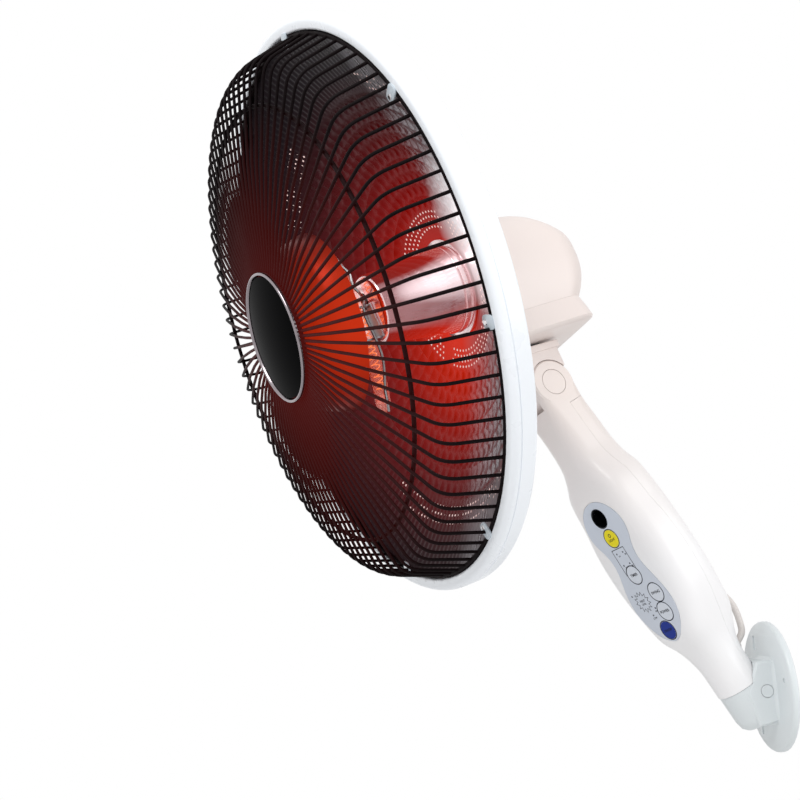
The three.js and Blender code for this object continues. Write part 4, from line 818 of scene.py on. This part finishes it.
def element_cap(name, sign):
    profile = [(0, -4), (4.1, -4), (4.1, 0.3), (5.4, 0.3)]
    profile += [(5.4, 1.6), (4.9, 2.8), (3.6, 4.2), (2.5, 5.6), (1.8, 7.2), (1.4, 8.6), (0, 9)]
    tangent = (element_point(sign) - element_point(0.9 * sign)).normalized()
    turned = Vector((0, 0, 1)).rotation_difference(tangent).to_matrix().to_4x4()
    place = DISH @ Matrix.Translation(element_point(sign)) @ turned
    finish_piece(spun(profile, 32), name + "_glass", place, "head", QUARTZ, [name])


def coil():
    total = COIL_TURNS * COIL_TURN_STEPS
    reach = 1 - COIL_SHORT / TUBE_HALF
    path = []
    for i in range(total + 1):
        angle = 2 * math.pi * i / COIL_TURN_STEPS
        middle = element_point(-reach + 2 * reach * i / total)
        path.append(middle + Vector((math.cos(angle), 0, math.sin(angle))) * COIL_RADIUS)
    bm = bar_along(bmesh.new(), path, COIL_WIRE, 6)
    on_dish(bm, "filament_coil", FILAMENT, ["heating_coil"])


HUB_TOP = 59  # the front of the guard's hub plate


def front_cup():
    profile = [(0, 38), (44, 38)]
    profile += arc((44, 32), 6, 90, 60, 3)
    profile += [(53, 33.4), (58.6, 29.4), (61.6, 25), (63.6, 19.5), (65.2, 14.5), (66, 11)]
    profile += [(65, 11), (62.7, 19), (60.6, 24.4), (57.8, 28.6), (52.4, 32.5), (43.6, 37), (0, 37)]
    bm = placed(spun(profile, 96), move(0, 0, CUP_RAISED))
    on_dish(bm, "cup", CUP_METAL, ["front_cup"])
    post = drum(7, 37.4 + CUP_RAISED, HUB_TOP - 3.6, 0.5, 32)
    on_dish(post, "cup_post", STEEL)


WIRES = 90
WIRE_START = 0.9
WIRE_RADIUS = 1.15
# Places on the guard's section, as (radius, height).
GUARD_EDGE = (197.6, -1.4)
KNEE = (183.3, 33.9)
MID = (156.9, 40.7)
EDGE_RING_RADIUS = 1.9
MID_RING_RADIUS = 1.5
RING_STEPS = 144
HUB_RADIUS = 47
BADGE_RADIUS = 44
BADGE_CROWN = 3


def wire_path():
    """One guard wire: up from the edge ring, round the knee, in over the dome to the hub."""
    start = Vector((GUARD_EDGE[0], 0, GUARD_EDGE[1]))
    knee = Vector((KNEE[0] + 1.2, 0, KNEE[1] + 0.6))
    mid = Vector((MID[0], 0, MID[1]))
    end = Vector((HUB_RADIUS - 2, 0, HUB_TOP - 1.6))
    bend = 10
    before = knee + (start - knee).normalized() * bend
    after = knee + (mid - knee).normalized() * bend
    corner = []
    for i in range(7):
        t = i / 6
        corner.append(before * (1 - t) ** 2 + knee * 2 * t * (1 - t) + after * t * t)
    dome = [mid, Vector((120, 0, 48.4)), Vector((82, 0, 54.2)), end]
    return [start, *corner, *dome]


def guard():
    bm = bar_along(bmesh.new(), wire_path(), WIRE_RADIUS, 8)
    first = Matrix.Rotation(math.radians(WIRE_START), 3, "Z")
    bmesh.ops.rotate(bm, cent=(0, 0, 0), matrix=first, verts=bm.verts)
    single = list(bm.verts) + list(bm.edges) + list(bm.faces)
    for i in range(1, WIRES):
        copy = bmesh.ops.duplicate(bm, geom=single)["geom"]
        verts = [item for item in copy if isinstance(item, bmesh.types.BMVert)]
        turned = Matrix.Rotation(2 * math.pi * i / WIRES, 3, "Z")
        bmesh.ops.rotate(bm, cent=(0, 0, 0), matrix=turned, verts=verts)
    on_dish(bm, "guard_wires", BLACK_WIRE, ["guard"])
    edge = spun(arc(GUARD_EDGE, EDGE_RING_RADIUS, 0, 330, 11), RING_STEPS, closed=True)
    on_dish(edge, "guard_edge_ring", BLACK_WIRE)
    section = arc((MID[0], MID[1] - 2.6), MID_RING_RADIUS, 0, 330, 11)
    middle = spun(section, RING_STEPS, closed=True)
    on_dish(middle, "guard_mid_ring", BLACK_WIRE, ["guard_middle_ring"])
    hub = drum(HUB_RADIUS, HUB_TOP - 3.2, HUB_TOP, 0.6, 96)
    on_dish(hub, "guard_hub", BLACK_WIRE)


def badge():
    low = HUB_TOP + 0.3
    dome = [(0, low), (BADGE_RADIUS, low), (BADGE_RADIUS, HUB_TOP + 1.2)]
    for i in range(12):
        share = 1 - i / 12
        dome.append((BADGE_RADIUS * share, HUB_TOP + 1.4 + BADGE_CROWN * (1 - share**2)))
    dome.append((0, HUB_TOP + 1.4 + BADGE_CROWN))
    on_dish(spun(dome, 96), "badge_disc", BLACK_GLOSS, ["badge"])
    profile = [(44.3, low), (47.2, low), (47.2, low + 1)]
    profile += arc((46.1, low + 1.2), 1.1, 0, 180, 8)
    bm = spun(profile, 128, closed=True)
    on_dish(bm, "badge_ring", BEZEL, ["badge_bezel"])


CLIP_COUNT = 8
CLIP_START = 19.1
CLIP_FROM = 190.5
CLIP_TO = 201.5
CLIP_HALF = 4.5
CLIP_LOW = 0.6
CLIP_HIGH = 2.0
CLIP_SCREW = 193.6


def softened(bm, edges, width, steps):
    shared = {"affect": "EDGES", "profile": 0.5, "material": -1}
    bmesh.ops.bevel(bm, geom=edges, offset=width, segments=steps, **shared)


def clip_tab():
    bm = slab((CLIP_FROM, -CLIP_HALF, CLIP_LOW), (CLIP_TO, CLIP_HALF, CLIP_HIGH))
    corners = [edge for edge in bm.edges if abs(edge.verts[0].co.z - edge.verts[1].co.z) > 1]
    softened(bm, corners, 3, 4)
    rims = [edge for edge in bm.edges if edge.calc_face_angle(0.0) > 0.8]
    softened(bm, rims, 0.4, 2)
    return bm


def guard_clips():
    """Small clear tabs that hold the guard's edge ring down, each with its screw."""
    for i in range(CLIP_COUNT):
        place = DISH @ turn(CLIP_START + 360 / CLIP_COUNT * i, "Z")
        name = f"guard_clip_{i + 1}"
        finish_piece(clip_tab(), name + "_tab", place, "head", CLEAR, [name])
        screw = placed(drum(1.9, 1.6, 2.5, 0.4, 24), move(CLIP_SCREW, 0, 0))
        finish_piece(screw, name + "_screw", place, "head", CHROME)


def dish():
    rim_ring()
    reflector()
    vent_holes()
    dish_back()
    barrel()
    quartz_tube()
    element_cap("element_cap_upper", 1)
    element_cap("element_cap_lower", -1)
    coil()
    front_cup()
    guard()
    badge()
    guard_clips()


dish()

# -------- swing housing
HOUSING_BOTTOM = 33
HOUSING_SEAM = 53
HOUSING_FRONT = 52
# Sections of the box: height, half width, front, back and corner.
TRAY = [
    (HOUSING_BOTTOM, 39, HOUSING_FRONT, 44, 12),
    (HOUSING_BOTTOM + 1.2, 41.6, HOUSING_FRONT, 47, 13),
    (HOUSING_BOTTOM + 2.5, 42.5, HOUSING_FRONT, 48, 14),
    (HOUSING_BOTTOM + 12, 41, HOUSING_FRONT, 47.5, 15),
    (HOUSING_SEAM, 39, HOUSING_FRONT, 47, 16),
]
COVER = [
    (HOUSING_SEAM + 0.1, 39, HOUSING_FRONT, 47, 16),
    (60, 41, HOUSING_FRONT, 52.5, 18),
    (71, 42.5, HOUSING_FRONT, 58.5, 20),
    (84, 43, HOUSING_FRONT, 61.5, 21),
    (101, 42.5, HOUSING_FRONT, 61, 21),
    (111, 40.5, HOUSING_FRONT, 55.5, 21),
    (120, 37, HOUSING_FRONT, 47.5, 20),
    (128, 31.5, HOUSING_FRONT, 38, 18),
    (134, 24, HOUSING_FRONT, 27, 15),
    (137, 15, HOUSING_FRONT, 16, 10),
]


SHAFT_WAY = 8.4  # radius of the way for the swing shaft


def behind_dish():
    """The room that the dish takes, in the head's frame, to cut from the housing."""
    radii = [RIM_INNER * i / 24 for i in range(24, -1, -1)]
    profile = [(0, 40), (RIM_INNER, 40)] + [(r, shell_height(r) - 1.1) for r in radii]
    place = move(0, -RIM_FORWARD, DISH_HEIGHT) @ turn(90, "X")
    return placed(spun(profile, 96), place)


def housing():
    shaft_way = drum(SHAFT_WAY, 20, 60)
    tray = carved(lofted(TRAY), [("DIFFERENCE", behind_dish()), ("DIFFERENCE", shaft_way)])
    finish_piece(tray, "housing_tray", HEAD, "head", CREAM, ["swing_housing_tray"])
    cover = carved(lofted(eased(COVER, 3)), [("DIFFERENCE", behind_dish())])
    finish_piece(cover, "housing_cover", HEAD, "head", CREAM, ["swing_housing_cover"])


housing()

# -------- arm
SEAM = 4
ROUND = 17.2
FACE_START = 58
FACE_OFFSET = 24
FACE_SLOPE = 0.045
PARTING = 5
REAR_SHELL_TOP = 241
KNUCKLE_RADIUS = 17.5
KNUCKLE_HALF = 18
SLOT_HALF = 11.3
TONGUE_ROOM = 17.2


def face_offset(height):
    """How far the flat face stands in front of the arm's axis."""
    return FACE_OFFSET - FACE_SLOPE * (height - FACE_START)


# Sections of the arm: height, half width, front, back and corner.
ARM_STATIONS = [
    (SEAM, ROUND, ROUND, ROUND, ROUND),
    (24, ROUND, ROUND, ROUND, ROUND),
    (37, 18.6, 18.4, 18.6, 16),
    (47, 21, 20.5, 22, 15),
    (58, 25, face_offset(58), 24.4, 14),
    (78, 31.8, face_offset(78), 22.6, 14),
    (97, 35.8, face_offset(97), 21.4, 14),
    (116, 37.4, face_offset(116), 21, 14),
    (134, 36.6, face_offset(134), 21.8, 14),
    (154, 33, face_offset(154), 24.2, 14),
    (178, 29.6, face_offset(178), 24.4, 14),
    (190, 23.6, 17, 24.4, 14),
    (202, 19.6, 15.6, 24.8, 13.5),
    (222, 18.4, 14.6, 24, 12),
    (240, 18, 14.2, 22, 9),
    (256, 18, 13.9, 21.2, 4),
    (260, 18, 13.9, 21.1, 3),
]

# The flat face: x across it, y up along it, z out of it.
FACE = (
    ARM
    @ Matrix.Translation((0, -FACE_OFFSET, FACE_START))
    @ Matrix(((1, 0, 0), (0, FACE_SLOPE, -1), (0, 1, FACE_SLOPE))).to_4x4()
)


FILM_HEIGHTS = (149, 122, 88, 57)  # upper lobe, waist, lower lobe and tip
FILM_HALVES = (22.4, 15, 23, 9.5)


def along_face(height):
    return height - FACE_START


def overlay_outline(grow=0.0):
    """The film's outline: a round upper lobe, a waist, and a longer lobe that narrows downwards."""
    upper, middle, low, bottom = (along_face(height) for height in FILM_HEIGHTS)
    lobe, waist, lower, tip = FILM_HALVES
    lobe, waist, lower, bottom = lobe + grow, waist + grow, lower + grow, bottom - grow
    points = [Vector(p) for p in arc((0, upper), lobe, -28, 208, 40)]

    def bezier(a, b, c, d, count=12):
        for i in range(1, count + 1):
            t = i / count
            s = 1 - t
            points.append(
                s**3 * Vector(a) + 3 * s * s * t * Vector(b) + 3 * s * t * t * Vector(c) + t**3 * Vector(d)
            )

    left = points[-1]
    bezier(left, (-waist - 0.6, middle + 9), (-waist, middle + 4), (-waist, middle))
    bezier((-waist, middle), (-waist - 1, middle - 12), (-lower, low + 14), (-lower, low))
    bezier((-lower, low), (-lower, low - 16), (-tip, bottom), (0, bottom))
    bezier((0, bottom), (tip, bottom), (lower, low - 16), (lower, low))
    bezier((lower, low), (lower, low + 14), (waist + 1, middle - 12), (waist, middle))
    bezier((waist, middle), (waist, middle + 4), (waist + 0.6, middle + 9), points[0])
    return points[:-1]


def plate(outline, low, high):
    """A flat outline given thickness."""
    bm = bmesh.new()
    face = bm.faces.new([bm.verts.new((p[0], p[1], low)) for p in outline])
    grown = bmesh.ops.extrude_face_region(bm, geom=[face])["geom"]
    verts = [item for item in grown if isinstance(item, bmesh.types.BMVert)]
    bmesh.ops.translate(bm, vec=(0, 0, high - low), verts=verts)
    return clean(bm, 1e-3)


KEYS = {
    "key_display": (0, 142, KEY_YELLOW, "display_key"),
    "key_timer": (0, 111.5, KEY_GREY, "grey_key"),
    "key_swing": (11, 94.5, KEY_GREY, "grey_key"),
    "key_power": (8.2, 79.5, KEY_GREY, "grey_key"),
    "key_on_off": (-0.5, 66, KEY_BLUE, "blue_key"),
}
KEY_RADIUS = 7
KEY_TOP = 0.4
FILM_TOP = 0.15
WINDOW = (0, 158.5)
WINDOW_RADIUS = 7.2
ON_FACE = ARM.inverted() @ FACE
BESIDE_ARM = 60
BELOW_ARM = -20


def at_knuckle(bm, x=0):
    """A shape on Z, laid along the tilt axis."""
    return placed(bm, move(x, TILT_BACK, ARM_LENGTH) @ ACROSS)


def knuckle_steps():
    """The round knuckle, with room for the neck's tongue and for the two caps."""
    steps = [
        ("UNION", at_knuckle(drum(KNUCKLE_RADIUS, -KNUCKLE_HALF, KNUCKLE_HALF, 1.2, 72))),
        ("DIFFERENCE", at_knuckle(drum(TONGUE_ROOM, -SLOT_HALF, SLOT_HALF))),
        ("DIFFERENCE", slab((-SLOT_HALF, -30, ARM_LENGTH), (SLOT_HALF, 40, ARM_LENGTH + 30))),
        ("DIFFERENCE", slab((-SLOT_HALF, -30, ARM_LENGTH - 14), (SLOT_HALF, 0, ARM_LENGTH + 1))),
    ]
    for sign in (-1, 1):
        steps.append(("DIFFERENCE", at_knuckle(drum(10, -2.1, 2.1), sign * KNUCKLE_HALF)))
    return steps


def face_steps():
    """The shallow room for the film, and the hole behind the window."""
    film_room = placed(plate(overlay_outline(0.3), -0.6, 4), ON_FACE)
    at_window = ON_FACE @ move(WINDOW[0], along_face(WINDOW[1]), 0)
    hole = placed(drum(WINDOW_RADIUS + 0.3, -4, 3, steps=48), at_window)
    return [("DIFFERENCE", film_room), ("DIFFERENCE", hole)]


def behind_parting(gap, top):
    """All that lies behind the seam between the arm's two halves, up to a height."""
    return slab((-BESIDE_ARM, PARTING + gap, BELOW_ARM), (BESIDE_ARM, BESIDE_ARM, top))


def arm_shells():
    steps = knuckle_steps() + face_steps()
    steps.append(("DIFFERENCE", behind_parting(-0.08, REAR_SHELL_TOP)))
    front = carved(lofted(eased(ARM_STATIONS, 4)), steps)
    finish_piece(front, "front_shell", ARM, "arm", ARM_WHITE, ["arm_front_shell"])
    kept = behind_parting(0.04, REAR_SHELL_TOP - 0.2)
    rear = carved(lofted(eased(ARM_STATIONS, 4)), [("INTERSECT", kept)])
    finish_piece(rear, "rear_shell", ARM, "arm", ARM_WHITE, ["arm_rear_shell"])


def control_face():
    film = plate(overlay_outline(), -0.5, FILM_TOP)
    finish_piece(film, "film", FACE, "arm", FILM, ["control_overlay"])
    eye = [(0, -3), (WINDOW_RADIUS, -3), (WINDOW_RADIUS, 0.2)]
    eye += arc((3.4, -2.2), 4.5, 32, 90, 8)
    eye.append((0, 2.2))
    bm = placed(spun(eye, 48), move(WINDOW[0], along_face(WINDOW[1]), 0))
    finish_piece(bm, "window", FACE, "arm", BLACK_GLOSS, ["receiver_window"])
    for name, (x, height, material, slot) in KEYS.items():
        key = drum(KEY_RADIUS - 0.1, -2, KEY_TOP, 0.15, 48)
        bm = placed(key, move(x, along_face(height), 0))
        finish_piece(bm, name + "_cap", FACE, name, material, [name])


PRINT = 0.04  # how far printing stands on its ground
FRAME_INK = 0.5
BURST_INK = 0.35
BURST_RAYS = 13
BURST_OUTER = 8.2
BURST_INNER = 5.4


def lettering(bm, words, x, y, size, height):
    """Words as a flat mesh, centred on x and y, added to bm."""
    curve = bpy.data.curves.new("lettering", "FONT")
    curve.body = words
    curve.size = size
    curve.align_x = "CENTER"
    curve.align_y = "CENTER"
    curve.offset = 0.02 * size
    made = linked("lettering", curve)
    bpy.context.view_layer.update()
    mesh = bpy.data.meshes.new_from_object(made)
    mesh.transform(move(x, y, height))
    bm.from_mesh(mesh)
    bpy.data.objects.remove(made)
    bpy.data.meshes.remove(mesh)


def outline_ring(bm, x, y, inner, outer, height, steps=48):
    """A flat ring of ink."""
    ring = bmesh.ops.create_circle(bm, radius=outer, segments=steps, matrix=move(x, y, height))["verts"]
    edges = list({edge for vert in ring for edge in vert.link_edges})
    grown = bmesh.ops.extrude_edge_only(bm, edges=edges)["geom"]
    verts = [item for item in grown if isinstance(item, bmesh.types.BMVert)]
    share = inner / outer
    space = move(-x, -y, -height)
    bmesh.ops.scale(bm, vec=(share, share, 1), space=space, verts=verts)


def stroke(bm, a, b, width, height):
    """A straight line of ink."""
    a, b = Vector(a), Vector(b)
    end = (b - a).normalized() * width / 2
    side = Vector((-end.y, end.x))
    corners = [a - end + side, a - end - side, b + end - side, b + end + side]
    bm.faces.new([bm.verts.new((p.x, p.y, height)) for p in corners])


def lamp_mark(bm, x, y, top):
    outline_ring(bm, x, y, 0.15, 0.7, top, 12)


def hours_printing(bm, top):
    """A frame open below, with four lamps and their hours inside it."""
    left, right, low, high = -8, 6.4, along_face(113), along_face(133.5)
    for a, b in [
        ((left, low), (left, high)),
        ((left, high), (right, high)),
        ((right, high), (right, low)),
        ((left, low), (-5.4, low - 1)),
        ((right, low), (5.4, low - 1)),
    ]:
        stroke(bm, a, b, FRAME_INK, top)
    for x, height, words in [(-4.6, 130, "1H"), (3, 130, "2H"), (-4.6, 120.5, "3H"), (3, 120.5, "4H")]:
        y = along_face(height)
        lamp_mark(bm, x, y, top)
        lettering(bm, words, x + 1.6, y - 2.2, 1.9, top)


def level_printing(bm, top):
    """A burst of rays round two words, with three lamps, two of them named."""
    centre = Vector((-8.4, along_face(91)))
    tips = []
    for i in range(BURST_RAYS * 2):
        angle = math.pi * i / BURST_RAYS
        radius = BURST_OUTER if i % 2 else BURST_INNER
        tips.append(centre + Vector((math.cos(angle) * radius, math.sin(angle) * radius)))
    for a, b in zip(tips, tips[1:] + tips[:1]):
        stroke(bm, a, b, BURST_INK, top)
    lettering(bm, "HEAT", centre.x, centre.y + 0.9, 2.4, top)
    lettering(bm, "LEVEL", centre.x, centre.y - 1.7, 2.0, top)
    for x, height, words in [(-16.5, 97.5, ""), (-6.2, 79.5, "LOW"), (0.4, 84, "HIGH")]:
        y = along_face(height)
        lamp_mark(bm, x, y, top)
        if words:
            lettering(bm, words, x + 0.3, y - 2.4, 1.9, top)


def face_printing():
    bm = bmesh.new()
    top = FILM_TOP + PRINT
    hours_printing(bm, top)
    level_printing(bm, top)
    for x, height, *_ in KEYS.values():
        outline_ring(bm, x, along_face(height), KEY_RADIUS + 0.05, KEY_RADIUS + 0.75, top)
    ring = (WINDOW_RADIUS + 0.05, WINDOW_RADIUS + 0.7)
    outline_ring(bm, WINDOW[0], along_face(WINDOW[1]), *ring, top)
    finish_piece(bm, "face_print", FACE, "arm", INK)


KEY_WORDS = {
    "key_display": ("LIGHT", 2.7, -1.2),
    "key_timer": ("TIMER", 3.0, 0),
    "key_swing": ("SWING", 3.0, 0),
    "key_power": ("POWER", 3.0, 0),
    "key_on_off": ("ON/OFF", 2.7, 0),
}


def key_printing():
    top = KEY_TOP + PRINT
    for name, (word, size, up) in KEY_WORDS.items():
        bm = bmesh.new()
        x, height = KEYS[name][:2]
        y = along_face(height)
        lettering(bm, word, x, y + up, size, top)
        if name == "key_display":
            outline_ring(bm, x, y + 2.4, 0.9, 1.5, top, 20)
        finish_piece(bm, name + "_print", FACE, name, INK)


def knuckle_caps():
    for name, sign in (("knuckle_cap_right", 1), ("knuckle_cap_left", -1)):
        cap = drum(9.7, -1.8, 0.1, 0.25, 56)
        flip = Matrix.Identity(4) if sign > 0 else Matrix.Rotation(math.pi, 4, "Y")
        place = ARM @ move(sign * KNUCKLE_HALF, TILT_BACK, ARM_LENGTH) @ flip @ ACROSS
        finish_piece(cap, name + "_cover", place, "arm", ARM_WHITE, [name])


arm_shells()
control_face()
face_printing()
key_printing()
knuckle_caps()
for node in ("lead_collar_upper", "lead_collar_lower"):
    dressed(node, SHEATH, 0.3)

# -------- wall plate and socket
dressed("wall_bracket", COOL_WHITE, 0.7)
dressed("pin_cover", COOL_WHITE, 0.2)
dressed("neck_block", CREAM, 0.5)

# -------- pieces kept as they are
KEPT = {
    STEEL: [
        "retaining_pin",
        "swivel_spigot",
        "tilt_bolt",
        "tilt_nut",
        "swing_shaft",
        "retaining_clip",
        "swing_motor",
        "swing_link",
        "element_carrier",
        "element_wire_upper",
        "element_wire_lower",
    ],
    DARK: [
        "friction_washer_right",
        "friction_washer_left",
        "thrust_washer",
        "swing_crank",
        "thermal_cut_out",
    ],
    CERAMIC: ["ceramic_base"],
    BOARD: ["control_board"],
}
for material, names in KEPT.items():
    for name in names:
        slots = frame["nodes"][name].data.materials
        slots.clear()
        slots.append(material)


# -------- floor, light and white surround
SURROUND_LIGHT = 0.56
WHITE = (1, 1, 1, 1)
FLOOR_RADIUS = 2.2
FLOOR_AT = (0.2, -0.3, -0.42)


def backdrop(tree, strength):
    made = tree.nodes.new("ShaderNodeBackground")
    made.inputs["Color"].default_value = WHITE
    made.inputs["Strength"].default_value = strength
    return made.outputs[0]


def direct_view(tree):
    """1 for what is seen directly, through glass or in mirrors, and 0 for light."""
    path = tree.nodes.new("ShaderNodeLightPath")
    seen = path.outputs["Is Camera Ray"]
    for ray in ("Is Transmission Ray", "Is Glossy Ray"):
        either = tree.nodes.new("ShaderNodeMath")
        either.operation = "MAXIMUM"
        tree.links.new(seen, either.inputs[0])
        tree.links.new(path.outputs[ray], either.inputs[1])
        seen = either.outputs[0]
    return seen


def surround():
    """A soft light from all round that looks plain white."""
    world = bpy.data.worlds.new("studio")
    bpy.context.scene.world = world
    world.use_nodes = True
    tree = world.node_tree
    tree.nodes.remove(tree.nodes["Background"])
    mix = tree.nodes.new("ShaderNodeMixShader")
    tree.links.new(direct_view(tree), mix.inputs[0])
    tree.links.new(backdrop(tree, SURROUND_LIGHT), mix.inputs[1])
    tree.links.new(backdrop(tree, 1.0), mix.inputs[2])
    tree.links.new(mix.outputs[0], tree.nodes["World Output"].inputs[0])


def floor():
    bm = bmesh.new()
    bmesh.ops.create_circle(bm, cap_ends=True, radius=FLOOR_RADIUS, segments=96)
    bmesh.ops.translate(bm, vec=FLOOR_AT, verts=bm.verts)
    mesh = bpy.data.meshes.new("floor")
    bm.to_mesh(mesh)
    bm.free()
    mesh.materials.append(Finish("floor", (0.9, 0.9, 0.9, 1), 0.9).material)
    ground = linked("floor", mesh)


def lamp(name, position, target, size, power):
    light = bpy.data.lights.new(name, "AREA")
    light.shape = "DISK"
    light.size = size
    light.energy = power
    made = linked(name, light)
    made.location = position
    made.rotation_mode = "QUATERNION"
    made.rotation_quaternion = (Vector(target) - Vector(position)).to_track_quat("-Z", "Y")


surround()
floor()
lamp("key", (1.3, -1.1, 1.4), (0, -0.2, 0.2), 1.0, 20)
lamp("fill", (0.9, 0.9, 0.5), (0, -0.1, 0.15), 1.2, 7)
bpy.context.scene.view_settings.view_transform = "Standard"
